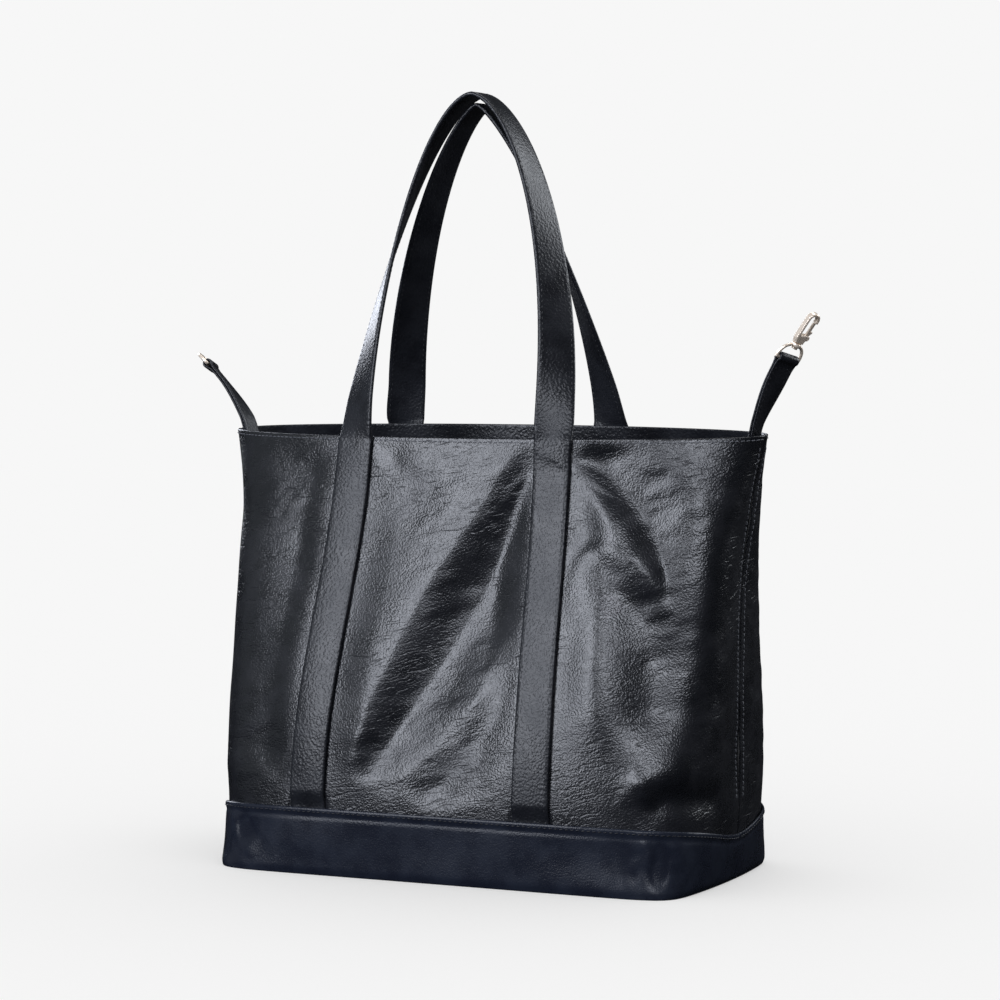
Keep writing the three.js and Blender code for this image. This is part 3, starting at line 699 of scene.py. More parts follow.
# %% [markdown]
# The other finishes are a twill lining, pale gold plating, a steel pin and spring, thread and pressed board. Each is
# one shader with a little unevenness, since nothing real is quite even. The plating is given only part of a metal's
# darkness, because it has few bright things round it to mirror.

# %% Cloth, metal, thread and board


def cloth_material():
    material, n, shader, place = new_material("lining_twill")
    turned = n.add("ShaderNodeMapping", {"Vector": place, "Rotation": (0.0, 0.8, 0.0)})
    ribs = n.add(
        "ShaderNodeTexWave",
        {"Vector": turned.outputs[0], "Scale": 420.0, "Distortion": 0.4, "Detail": 1.0},
        wave_type="BANDS", bands_direction="X",
    ).outputs["Fac"]
    height = n.math("ADD", ribs, n.math("MULTIPLY", n.noise(place, 900.0), 0.5))
    n.feed(shader, {
        "Base Color": n.colours(ribs, (0.012, 0.012, 0.014), (0.032, 0.033, 0.037)),
        "Roughness": 0.9,
        "Sheen Weight": 0.3,
        "Normal": n.relief(height, 0.4, 0.0002),
    })
    return material


def metal_material(name, colour, rough):
    material, n, shader, place = new_material(name)
    smudge = n.noise(place, 320.0, 3.0)
    n.feed(shader, {
        "Base Color": n.colours(n.ramp(smudge, 0.4, 0.6), colour, tuple(0.9 * c for c in colour)),
        "Metallic": 0.6,
        "Roughness": n.ramp(smudge, 0.35, 0.7, rough, rough + 0.06),
        "Normal": n.relief(n.noise(place, 2400.0), 0.06, 0.0001),
    })
    return material


def fibre_material(name, dark, light, rough, grain, strength, **more):
    """Thread or pressed board: colour and relief from the same fine noise."""
    material, n, shader, place = new_material(name)
    fibre = n.noise(place, grain, **more)
    n.feed(shader, {
        "Base Color": n.colours(fibre, dark, light),
        "Roughness": rough,
        "Normal": n.relief(fibre, strength, 0.0002),
    })
    return material


def thread_material(name, dark, light):
    return fibre_material(name, dark, light, 0.5, 1800.0, 0.4, detail=1.0)


lining_twill = cloth_material()
pale_gold = metal_material("pale_gold", (0.90, 0.78, 0.66), 0.24)
bright_steel = metal_material("bright_steel", (0.6, 0.58, 0.55), 0.25)
black_thread = thread_material("black_thread", (0.005, 0.0055, 0.007), (0.014, 0.015, 0.02))
rim_thread = thread_material("rim_thread", (0.03, 0.032, 0.038), (0.10, 0.105, 0.12))
pressed_board = fibre_material(
    "pressed_board", (0.09, 0.085, 0.08), (0.16, 0.155, 0.15), 0.8, 700.0, 0.3, detail=4.0, Distortion=1.0
)
print("materials made:", len(bpy.data.materials))

# %% [markdown]
# Each wall is two halves that meet at the side seams: the outer panel, the thin facing inside the rim, and the
# cloth lining below it. The base band is two halves as well. They are the same kind of sheet at different depths, so
# one function makes them all. Its columns are spaced evenly round the section, because the curve's own angle would
# crowd them at the corners.

# %% Wall pieces


def half_sheet(side, foot_at, top_at, inset, thickness, columns, rows, edge, bulge, face_inset=0.0, seam_gap=None):
    """Two grids, outer and inner, of a half wall from side seam to side seam. Edge is left free for the rounded
    border, bulge(u, z, angle) says how far the sheet stands out, and the columns are even at face_inset."""
    seam_angle = seam_gap or gap / rim_depth
    dense = np.linspace(seam_angle, np.pi - seam_angle, 1400)
    share = np.linspace(0, 1, columns)
    outer, inner = np.empty((rows, columns, 3)), np.empty((rows, columns, 3))
    for k, v in enumerate(np.linspace(0, 1, rows)):
        z = lerp(foot_at(side * dense) + edge, top_at(side * dense) - edge, v)
        p = wall_at(side * dense, z, face_inset)
        length = np.concatenate([[0], np.hypot(*np.diff(p[:, :2], axis=0).T).cumsum()])
        even = np.interp(share * (length[-1] - 2 * edge) + edge, length, dense) * side
        z = lerp(foot_at(even) + edge, top_at(even) - edge, v)
        u = length[-1] / 2 - np.interp(np.abs(even), dense, length)
        step = wall_at(even + 1e-4, z, 0) - wall_at(even - 1e-4, z, 0)
        normal = np.stack([step[:, 1], -step[:, 0], 0 * z], -1)
        normal /= np.linalg.norm(normal, axis=1, keepdims=True)
        out = bulge(u, z, even)[:, None] * normal
        outer[k] = wall_at(even, z, inset) + out
        inner[k] = wall_at(even, z, inset + thickness) + out
    return outer, inner


def facing_foot(angle):
    return rim_at(angle) - facing_height


def panel_foot(angle):
    return band_top_at(angle) - lap_seam


def lining_foot(angle):
    return lining_floor + 0 * angle


def lining_top(angle):
    return facing_foot(angle) - gap


sides = {"front": -1, "back": 1}
wall_grids = {}
for name, side in sides.items():
    folded = lambda u, z, angle: wall_folds(u, z, side)
    grids = half_sheet(side, panel_foot, rim_at, 0, leather, 430, 230, leather / 2, folded)
    wall_grids[name] = grids[0]
    panel = mesh_piece(f"{name}_panel_leather", *slab(*grids))
    finish_piece(panel, "bag", wall_leather, "leather", [f"{name}_panel"])
    grids = half_sheet(side, facing_foot, rim_at, facing_inset, facing_leather, 220, 28, facing_leather / 2, folded)
    facing = mesh_piece(f"{name}_rim_facing", *slab(*grids))
    finish_piece(facing, "bag", strap_leather, "leather", [f"{name}_top_facing"])
    grids = half_sheet(side, lining_foot, lining_top, lining_inset, cloth, 220, 110, cloth / 2, folded)
    lining = mesh_piece(f"{name}_twill_lining", *slab(*grids, round_steps=2))
    finish_piece(lining, "bag", lining_twill, "lining", [f"{name}_lining"])
    print(name, "wall has", len(panel.data.vertices), "points in its panel")

# %% [markdown]
# The base band is a separate, smoother leather. It is cut as two long strips that meet at the side seams and wrap
# the corners, where stiff leather can't turn neatly: it gathers into small crumples. Its top edge is turned in
# and sewn down over the foot of the panels, so it is a sheet like theirs that stands a little further out.

# %% Base band


corner_place, corner_reach = 182, 24
deepest_dent = 0.45


def band_shape(side):
    """How far the band's leather stands out: soft waves, crumpled corners, a turned lip over a pressed seam."""

    def bulge(u, z, angle):
        up = z / band_height
        waves = 0.5 * noise(u / 55 + 3 * side, z / 30, 5) * np.sin(np.pi * up)
        corner = np.exp(-((np.abs(u) - corner_place) / corner_reach) ** 2)
        gathers = 0.9 * np.sin((u + 0.5 * z) / 5.5 + 2 * noise(u / 25, z / 18, 6))
        dents = 1.9 * noise(u / 12 + 5, z / 16, 7) + 0.5 * noise(u / 6 + 2, z / 8, 4)
        crumpled = waves + (gathers + dents) * corner * np.sin(np.pi * np.clip(up, 0, 1)) ** 0.7
        below_top = band_top_at(angle) - z
        lip = 0.45 * np.exp(-((below_top - 2.0) / 1.6) ** 2)
        seam = -0.5 * np.exp(-((below_top - 6.5) / 1.8) ** 2)
        foot = -1.2 * np.exp(-(z / 3.5) ** 2)
        return np.maximum(crumpled, -deepest_dent) + lip + seam + foot

    return bulge


band_grids = {}
for name, side in sides.items():
    grids = half_sheet(
        side, lambda angle: 0 * angle, band_top_at, -band_stand, leather, 420, 44, leather / 2, band_shape(side),
        face_inset=-band_stand, seam_gap=gap / base_depth,
    )
    band_grids[name] = grids[0]
    band = mesh_piece(f"{name}_band_leather", *slab(*grids))
    finish_piece(band, "bag", band_leather, "band_leather", [f"{name}_base_band"])
print("band stands out", round(band_stand, 1), "mm from the panels")

# %% [markdown]
# Three flat plates make the floor: the leather you see from below, a stiff board, and the lining on it. They are
# slabs too, with a little unevenness, so that the one in sight is not a mirror.

# %% Base plates


end_angle = 0.12


def base_plate(inset, bottom, thickness, sag, columns=150, rows=60):
    """Two grids of a flat plate that fills the walls' section, short of its two ends."""
    angle = np.linspace(end_angle, np.pi - end_angle, columns)
    share = np.linspace(0, 1, rows)[:, None, None]
    front, back = wall_at(-angle, 0 * angle, inset + thickness / 2), wall_at(angle, 0 * angle, inset + thickness / 2)
    flat = lerp(front[None], back[None], share)
    wave = sag * noise(flat[..., 0] / 60, flat[..., 1] / 45, 2)
    low, high = flat.copy(), flat.copy()
    low[..., 2] = bottom + np.maximum(wave, 0)
    high[..., 2] = bottom + thickness + np.maximum(wave, 0)
    return high, low


lining_bottom = lining_floor - cloth - gap
base_plates = (
    ("base_leather", "base_panel", 0.8, 0.0, leather, 0.12, band_leather, "band_leather"),
    ("base_stiffener", "base_board", leather, leather + gap, board_thickness, 0.0, pressed_board, "board"),
    ("floor_lining", "base_lining", lining_inset + cloth, lining_bottom, cloth, 0.25, lining_twill, "lining"),
)
for name, node, inset, bottom, thickness, sag, material, slot in base_plates:
    plate = mesh_piece(name, *slab(*base_plate(inset, bottom, thickness, sag)))
    finish_piece(plate, "bag", material, slot, [node])
    print(name, "is", thickness, "mm thick")

# %% [markdown]
# The handles. Each is one long strap: it is sewn up the wall, leaves the rim, arches over and comes down the
# other side. The strap turns a quarter as it rises, so that it lies flat on a shoulder. It is swept as one
# closed band along its path, because a gap at the rim would show as the handle folds.

# %% Handle paths
lean_power, twist_power = 1.6, 0.55
handle_rise, handle_nesting, handle_clear = 265.0, 16.0, 5.0
# For the front and the back loop: the powers that shape its spread and its rise, and how tall it is.
arch = {-1: (1.17, 1.11, handle_rise), 1: (1.42, 1.4, handle_rise - handle_nesting)}


def loop_root(side):
    near = min(abs(handle_shift - spacing_at_rim[side] / 2), abs(handle_shift + spacing_at_rim[side] / 2))
    return float(wall_depth(near - strap_width / 2, body_height - rim_rise)) + gap + strap_thickness / 2


def wall_front(side, x, z):
    """Point of the folded wall's face at an x and a height, and its outward direction."""
    u = unrolled(x, z)
    bulge = wall_folds(u, z, side)
    slope = wall_depth(x + 0.5, z) - wall_depth(x - 0.5, z)
    normal = np.stack([-slope, np.ones_like(slope), 0 * slope], -1)
    normal /= np.linalg.norm(normal, axis=-1, keepdims=True)
    normal[..., 1] *= side
    point = np.stack([x, side * wall_depth(x, z), z], -1)
    return point + bulge[..., None] * normal, normal


def loop_centre(side, q):
    across_power, rise_power, tall = arch[side]
    root = loop_root(side)
    c, rise = np.cos(q), np.sin(q).clip(0, 1) ** rise_power
    x = handle_shift + spacing_at_rim[side] / 2 * np.sign(c) * np.abs(c) ** across_power
    y = side * (root - (root - handle_clear) * (1 - (1 - rise) ** lean_power))
    return np.stack([x, y, rim_by(side) + 2 * gap + tall * rise], -1)


def loop_stations(side, count):
    """Middle line of the free part and its two directions, from the right leg over the top to the left leg."""
    dense = np.linspace(0, np.pi, 4001)
    line = loop_centre(side, dense)
    length = np.concatenate([[0], np.linalg.norm(np.diff(line, axis=0), axis=1).cumsum()])
    q = np.interp(np.linspace(0, length[-1], count), length, dense)
    centre = loop_centre(side, q)
    tangent = loop_centre(side, np.minimum(q + 1e-3, np.pi)) - loop_centre(side, np.maximum(q - 1e-3, 0))
    tangent[0], tangent[-1] = (0, 0, 1), (0, 0, -1)
    tangent /= np.linalg.norm(tangent, axis=1, keepdims=True)
    turn = math.pi / 2 * np.sin(q).clip(0, 1) ** (twist_power * arch[side][1])
    flip = np.where(np.cos(q) >= 0, 1, -1)
    across = np.stack([flip * np.cos(turn), -side * np.sin(turn), 0 * q], -1)
    across -= (across * tangent).sum(1, keepdims=True) * tangent
    across /= np.linalg.norm(across, axis=1, keepdims=True)
    return centre, across, np.cross(across, tangent)


print("front loop stands", round(rim_by(-1) + handle_rise), "mm over the floor")

# %% Handle sections
face_steps, edge_steps = 14, 5


def strap_section(width, thickness, crown=0.25):
    """A strap's cross section: across and up, with rounded edges and slightly full faces."""
    r = thickness / 2
    x = np.linspace(-(width / 2 - r), width / 2 - r, face_steps)
    full = r + crown * (1 - (2 * x / width) ** 2)
    t = np.linspace(math.pi / 2, -math.pi / 2, edge_steps + 2)[1:-1]
    right = np.stack([width / 2 - r + r * np.cos(t), r * np.sin(t)], -1)
    top = np.stack([x, full], -1)
    return np.concatenate([top, right, top[::-1] * (1, -1), right[::-1] * (-1, 1)])


def section_mirror(through_thickness):
    """Order that turns a strap section's points over, through its thickness or across its width."""
    top, right, bottom, left = np.split(
        np.arange(2 * (face_steps + edge_steps)), [face_steps, face_steps + edge_steps, 2 * face_steps + edge_steps]
    )
    order = (bottom, right, top, left) if through_thickness else (top, left, bottom, right)
    return np.concatenate([part[::-1] for part in order])


def leg_rings(side, leg, section):
    """Rings of a strap sewn up the folded wall, its end thinned where it goes down behind the band."""
    heights = np.arange(band_height - tucked_length, rim_by(side) + 0.2, 1.5)
    pared = tucked_thickness / strap_thickness
    thin = lerp(pared, 1, smooth(band_height, band_height + tuck_run, heights))[:, None]
    z = heights[:, None] + 0 * section[None, :, 0]
    x = leg_centre(side, leg, heights)[:, None] + section[None, :, 0]
    face, out = wall_front(side, x, z)
    lift = (gap + thin * (strap_thickness / 2 + section[None, :, 1]))[..., None]
    return face + lift * out


def handle_rings(side):
    """Rings of a whole strap: up the right leg, over the arch, down the left leg."""
    section = strap_section(strap_width, strap_thickness)
    right, left = (leg_rings(side, leg, section) for leg in (1, -1))
    # A ring's points run the same way round when its width and thickness point the same way.
    left = left[:, section_mirror(False)]
    if side > 0:
        right, left = right[:, section_mirror(True)], left[:, section_mirror(True)]
    centre, across, normal = loop_stations(side, 470)
    loop = centre[:, None] + across[:, None] * section[None, :, :1] + normal[:, None] * section[None, :, 1:]
    # The legs lie in the wall's own slant at the rim, and the arch eases out of it over a short height.
    ease = 1 - smooth(0, 34, loop[:, :, 2] - rim_by(side))
    half = len(loop) // 2
    for part, end, rim_ring in ((slice(0, half), 0, right[-1]), (slice(half, None), -1, left[-1])):
        offset = rim_ring - loop[end]
        loop[part] += ease[part][..., None] * offset[None]
    return np.concatenate([right, loop[3:-3], left[::-1]])


joints = {joint["name"]: joint for joint in frame["joints"]}


def blend_handle(piece, name):
    """Bakes the piece's placement into its points."""
    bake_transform(piece)


handle_sections = {}
for name, side in sides.items():
    handle_sections[name] = handle_rings(side)
    strap = mesh_piece(f"{name}_handle_strap", *swept(handle_sections[name]))
    strap.data.materials.append(strap_leather)
    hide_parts(f"{name}_handle_left_leg", f"{name}_handle_right_leg", f"{name}_handle_loop")
    blend_handle(strap, name)
    print(name, "strap has", len(handle_sections[name]), "rings")

# %% [markdown]
# Inside, a slip pocket of the same twill is sewn to the back lining by its two sides and its foot. Its top edge is
# turned over into a hem, and hangs a little open.

# %% Slip pocket
pocket_width, pocket_height, pocket_floor, pocket_slack = 190.0, 130.0, 120.0, 1.0


def pocket_open(x, z):
    """How far the pocket's cloth stands off the lining: its mouth hangs open in the middle."""
    mouth = smooth(pocket_height * 0.55, pocket_height, z - pocket_floor) * np.cos(math.pi * x / pocket_width)
    return pocket_slack + 2.2 * mouth + 0.5 * noise(x / 30, z / 35, 3) * mouth


def pocket_sheet(columns=120, rows=90):
    x = np.linspace(-pocket_width / 2, pocket_width / 2, columns)[None, :] + np.zeros((rows, 1))
    z = pocket_floor + 0.3 + np.linspace(0, pocket_height - 0.6, rows)[:, None] + 0 * x
    face, normal = wall_front(1, x, z)
    hem = 0.35 * smooth(pocket_height - 9.5, pocket_height - 8.5, z - pocket_floor)
    inset = lining_inset + cloth + pocket_open(x, z)
    return face - (inset - hem)[..., None] * normal, face - (inset + cloth + hem)[..., None] * normal


pocket = mesh_piece("slip_pocket", *slab(*pocket_sheet()))
finish_piece(pocket, "bag", lining_twill, "lining", ["inner_pocket"])
print("pocket is", pocket_width, "by", pocket_height, "mm")

# %% [markdown]
# The side tabs. Each is one strip of leather folded round the bar of its metal loop, so its two halves lie face to
# face and are stitched together. Their foot is sewn inside the rim. The strip is drawn as a profile, out along
# one face, round the bar and back along the other, and that profile is given its width.

# %% Tab shapes
tab_width, tab_thickness, tab_length, tab_anchor_depth = 20.0, 3.6, 60.0, 32.0
ring_wire, ring_inside, ring_height = 2.6, 21.0, 14.0
eye_bore, eye_radius = 2.1, 4.0
hook_rest_tilt = 6.0
# Lean is the tab's slant at its foot and at its end, twist and tilt turn its end and what hangs there.
tabs = {
    "left": {"side": -1, "lean": (28.0, 48.0), "twist": 18.0, "tilt": 0.0},
    "right": {"side": 1, "lean": (20.0, 30.0), "twist": -28.0, "tilt": hook_rest_tilt},
}


def turned(vector, axis, degrees):
    """A vector turned about a unit axis."""
    t = math.radians(degrees) if np.isscalar(degrees) else np.radians(degrees)[..., None]
    along = (vector * axis).sum(-1, keepdims=True) * axis
    return along + (vector - along) * np.cos(t) + np.cross(axis, vector) * np.sin(t)


free_from = 0.08


def tab_line(name):
    """Points up a tab's middle and their axes (through, across, along), from its sewn foot to past its eye."""
    tab = tabs[name]
    side = tab["side"]
    hinge = 1000 * np.array(joints[f"{name}_tab_bend"]["pos_m"])
    start, end = np.radians(tab["lean"])
    radius = tab_length / (end - start)
    share = np.linspace(free_from, 1, 60)
    lean = lerp(start, end, share)
    arc = hinge + radius * np.stack(
        [side * (np.cos(start) - np.cos(lean)), 0 * lean, np.sin(lean) - np.sin(start)], -1
    )
    z = np.linspace(body_height - tab_anchor_depth + 1, hinge[2] - 3, 30)
    settle = 1.0 * (1 - smooth(body_height - 12, body_height, z))
    inward = half_width_at(np.full_like(z, body_height)) - half_width_at(np.minimum(z, body_height)) + settle
    foot = np.stack([side * (abs(hinge[0]) - inward), 0 * z, z], -1)
    line = np.concatenate([foot, arc])
    for _ in range(3):
        line[1:-1] = (line[:-2] + 2 * line[1:-1] + line[2:]) / 4
    beyond = np.array([side * math.sin(end), 0, math.cos(end)])
    line = np.concatenate([line, line[-1] + beyond * np.linspace(0.5, 6, 12)[:, None]])
    length = np.concatenate([[0], np.linalg.norm(np.diff(line, axis=0), axis=1).cumsum()])
    eye_at = length[len(foot) + len(arc) - 1]
    hinge_at = length[len(foot)] - free_from * tab_length
    tangent = np.gradient(line, length, axis=0)
    tangent /= np.linalg.norm(tangent, axis=1, keepdims=True)
    twist = tab["twist"] * smooth(0, 0.8, (length - hinge_at) / tab_length)
    across = turned(np.array([0.0, 1.0, 0.0]) + 0 * tangent, tangent, twist)
    through = np.cross(across, tangent)
    return length, line, (through, across, tangent), eye_at


def tab_profile(eye_at):
    """The folded strip seen from its edge: outer and inner points as (along, through)."""
    turn = np.radians(np.linspace(142, -142, 31))
    outer_eye = np.stack([eye_at + eye_radius * np.cos(turn), eye_radius * np.sin(turn)], -1)
    inner_eye = np.stack([eye_at + eye_bore * np.cos(turn), eye_bore * np.sin(turn)], -1)
    up = np.linspace(0.5, eye_at - 8.5, 70)
    half = tab_thickness / 2
    outer = [np.stack([up, np.full_like(up, half)], -1), [[eye_at - 6.5, half + 0.1]], outer_eye]
    inner = [np.stack([up, np.full_like(up, 0.06)], -1), [[eye_at - 5.2, 0.15]], inner_eye]
    mirrored = lambda parts: [np.asarray(part)[::-1] * (1, -1) for part in parts[1::-1]]
    return np.concatenate(outer + mirrored(outer)), np.concatenate(inner + mirrored(inner))


def on_tab(line, profile, width):
    """Points of a tab at (along, through) places, one row for each place across its width."""
    length, middle, axes, _ = line
    place = lambda values: np.stack([np.interp(profile[:, 0], length, values[:, k]) for k in range(3)], -1)
    centre, through, across = place(middle), place(axes[0]), place(axes[1])
    return (centre + through * profile[:, 1:])[:, None] + across[:, None] * np.asarray(width)[None, :, None]


def blend_tab(piece, name):
    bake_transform(piece)


tab_lines = {}
for name in tabs:
    tab_lines[name] = tab_line(name)
    outer, inner = tab_profile(tab_lines[name][3])
    width = np.linspace(-tab_width / 2 + 0.85, tab_width / 2 - 0.85, 14)
    faces = [on_tab(tab_lines[name], profile, width) for profile in (outer, inner)]
    strip = mesh_piece(f"{name}_tab_leather", *slab(*faces))
    strip.data.materials.append(strap_leather)
    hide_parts(f"{name}_tab", f"{name}_tab_anchor")
    blend_tab(strip, name)
    print(name, "tab runs", round(tab_lines[name][3]), "mm from its foot to its eye")

# %% [markdown]
# The metal is small and smooth. The D-ring is bent wire, so it is swept round a D. The swivel eye has the same loop
# with a boss on top. It, the hook and its gate are castings, and a casting has no sharp edge anywhere: their shapes
# are remeshed finely and relaxed, which rounds every edge as tumbling and plating would.

# %% Metal loops


def eye_axes(name):
    """Where a tab's metal loop stands, and its axes: through the loop, across it, and up it."""
    length, line, axes, eye_at = tab_lines[name]
    at = lambda values: np.array([np.interp(eye_at, length, values[:, k]) for k in range(3)])
    through, across, up = (at(a) for a in axes)
    tilt = tabs[name]["side"] * tabs[name]["tilt"]
    through, up = turned(through, across, tilt), turned(up, across, tilt)
    joint = {"left": "left_ring_swing", "right": "hook_eye_swing"}[name]
    return 1000 * np.array(joints[joint]["pos_m"]), np.stack([through, across, up])


def rounded(points, times):
    """A closed path with its corners cut, each cut again."""
    points = np.asarray(points, float)
    for _ in range(times):
        ahead = np.roll(points, -1, axis=0)
        points = np.stack([lerp(points, ahead, 0.25), lerp(points, ahead, 0.75)], 1).reshape(-1, points.shape[1])
    return points


def wire(path, radius, closed=True, sides=18):
    """Rings of a round wire along a path in the plane of across and up. Columns are through, across, up."""
    path = np.asarray(path, float)
    tangent = np.roll(path, -1, axis=0) - np.roll(path, 1, axis=0) if closed else np.gradient(path, axis=0)
    tangent /= np.linalg.norm(tangent, axis=1, keepdims=True)
    through = np.tile([1.0, 0, 0], (len(path), 1))
    beside = np.cross(tangent, through)
    beside /= np.linalg.norm(beside, axis=1, keepdims=True)
    through = np.cross(beside, tangent)
    t = np.linspace(0, 2 * np.pi, sides, endpoint=False)[None, :, None]
    return path[:, None] + radius * (np.cos(t) * through[:, None] + np.sin(t) * beside[:, None])


def d_path():
    half, bow = (ring_inside + ring_wire) / 2, ring_height - ring_wire / 2
    t = np.linspace(0, 1, 15)[:, None]
    right, over, top = np.array([half, 0.75 * bow]), np.array([0.55 * half, bow]), np.array([0, bow])
    foot = np.array([half, 0.0])
    curve = (1 - t) ** 3 * foot + 3 * (1 - t) ** 2 * t * right + 3 * (1 - t) * t**2 * over + t**3 * top
    bar = np.linspace(-half, half, 17)[:-1]
    outline = np.concatenate([np.stack([bar, 0 * bar], -1), curve, curve[-2:0:-1] * (-1, 1)])
    return np.concatenate([np.zeros((len(outline), 1)), outline], 1)


def placed(points, origin, axes):
    return origin + points @ axes


print("ring is", ring_inside + 2 * ring_wire, "mm wide and", ring_height, "mm high")

# %% Cast and turned pieces


def cast(name, points, faces, voxel, relax):
    """A closed, softly rounded shape from rough ones: remeshed to one skin and relaxed. Works in millimetres."""
    rough = mesh_piece(name + "_rough", points * 1000, faces)
    remesh = rough.modifiers.new("skin", "REMESH")
    remesh.mode, remesh.voxel_size = "VOXEL", voxel
    soften = rough.modifiers.new("relax", "SMOOTH")
    soften.factor, soften.iterations = 0.5, relax
    shape = bpy.data.meshes.new_from_object(rough.evaluated_get(bpy.context.evaluated_depsgraph_get()))
    bpy.data.objects.remove(rough)
    made = np.empty(3 * len(shape.vertices), np.float32)
    shape.vertices.foreach_get("co", made)
    shape.vertices.foreach_set("co", made / 1000)
    shape.update()
    shape.shade_smooth()
    shape.name = name
    piece = bpy.data.objects.new(name, shape)
    bpy.context.scene.collection.objects.link(piece)
    return piece


def node_shape(node):
    """Points in millimetres and triangles of a CAD node."""
    mesh = frame["nodes"][node].data
    mesh.calc_loop_triangles()
    points, triangles = np.empty(3 * len(mesh.vertices)), np.empty(3 * len(mesh.loop_triangles), int)
    mesh.vertices.foreach_get("co", points)
    mesh.loop_triangles.foreach_get("vertices", triangles)
    unique, index = np.unique(np.round(1000 * points.reshape(-1, 3), 4), axis=0, return_inverse=True)
    return unique, index.ravel()[triangles].reshape(-1, 3)


def turned_part(profile, sides=40):
    """Points and quads of a ring turned about the up axis, from a closed profile of (radius, up)."""
    t = np.linspace(0, 2 * np.pi, sides, endpoint=False)[:, None]
    r, up = profile[None, :, 0], profile[None, :, 1]
    return swept(np.stack([r * np.cos(t), r * np.sin(t), up + 0 * t], -1), closed=True)


print("hook's shape has", len(node_shape("hook_body")[0]), "points before it is softened")

# %% Ring and swivel eye
swivel_boss_height, swivel_boss_width, post_radius = 3.2, 8.0, 1.5
ring_origin, ring_axes = eye_axes("left")
ring_rings = placed(wire(d_path(), ring_wire / 2), ring_origin, ring_axes)
ring = mesh_piece("left_d_ring_wire", *swept(ring_rings, closed=True))
finish_piece(ring, "left_ring", pale_gold, "gold", ["left_d_ring"])

eye_origin, eye_frame = eye_axes("right")
boss_foot = ring_height - ring_wire
boss_top = boss_foot + swivel_boss_height
bore, rim_of_boss = post_radius + gap, swivel_boss_width / 2
bulged = (rim_of_boss, boss_foot + swivel_boss_height / 2)
barrel = rounded(
    [(bore, boss_foot), (rim_of_boss - 0.3, boss_foot), bulged, (rim_of_boss - 0.3, boss_top), (bore, boss_top)], 2
)
loop_points, loop_faces = swept(wire(d_path(), ring_wire / 2), closed=True)
boss_points, boss_faces = turned_part(barrel)
eye_points = placed(np.concatenate([loop_points, boss_points]), eye_origin, eye_frame)
swivel_eye = cast("swivel_eye", eye_points, np.concatenate([loop_faces, boss_faces + len(loop_points)]), 0.2, 3)
finish_piece(swivel_eye, "hook_eye", pale_gold, "gold", ["hook_eye"])
print("swivel eye has", len(swivel_eye.data.vertices), "points")

# %% [markdown]
# The gate swings on a steel pin, and a thin coil round the pin springs it shut. Both are too small to need more than
# a turned cylinder with domed ends, and a wire swept along a helix.

# %% Snap hook
hook = cast("snap_hook", *node_shape("hook_body"), 0.16, 5)
finish_piece(hook, "hook", pale_gold, "gold", ["hook_body"])
gate = cast("hook_gate_lever", *node_shape("hook_gate"), 0.12, 3)
finish_piece(gate, "hook_gate", pale_gold, "gold", ["hook_gate"])

pin_radius, pin_length = 0.65, 4.6
spring_wire, spring_radius, spring_turns, spring_place = 0.36, 1.28, 2, 1.0
gate_pin_at = 1000 * np.array(joints["hook_gate_swing"]["pos_m"])
pin_axes = eye_frame[[1, 2, 0]]
dome, dome_height = np.linspace(0, np.pi / 2, 6), 0.3
ends = np.stack([pin_radius * np.cos(dome), pin_length / 2 - dome_height + dome_height * np.sin(dome)], -1)[:-1]
radius, up = np.concatenate([ends[::-1], ends * (1, -1)])[:, :, None].transpose(1, 0, 2)
t = np.linspace(0, 2 * np.pi, 24, endpoint=False)
pin_rings = np.stack([radius * np.cos(t), radius * np.sin(t), up + 0 * t], -1)
pin = mesh_piece("gate_pin", *swept(placed(pin_rings, gate_pin_at, pin_axes)))
finish_piece(pin, "hook", bright_steel, "steel", ["hook_gate_pin"])

t = np.linspace(0, 2 * np.pi * spring_turns, 30 * spring_turns)
rise = spring_place + (t / t[-1] - 0.5) * spring_wire * 1.15 * spring_turns / 2
coil = np.stack([rise, spring_radius * np.cos(t), spring_radius * np.sin(t)], -1)
coil_wire = wire(coil, spring_wire / 2, closed=False, sides=10)
spring = mesh_piece("gate_spring_coil", *swept(placed(coil_wire, gate_pin_at, eye_frame)))
finish_piece(spring, "hook", bright_steel, "steel", ["hook_gate_spring"])
print("hook has", len(hook.data.vertices), "points, its gate", len(gate.data.vertices))

# %% [markdown]
# Stitches hold everything together, and they are what the eye looks for on leather goods. A painted dashed line
# would do from afar, but a real stitch is a short rope that dives into the leather at both ends. One small closed
# stitch is made once and copied along each seam, all of a seam's copies in one mesh.

# %% Stitches
stitch_pitch, stitch_length, stitch_radius = 4.3, 3.3, 0.42


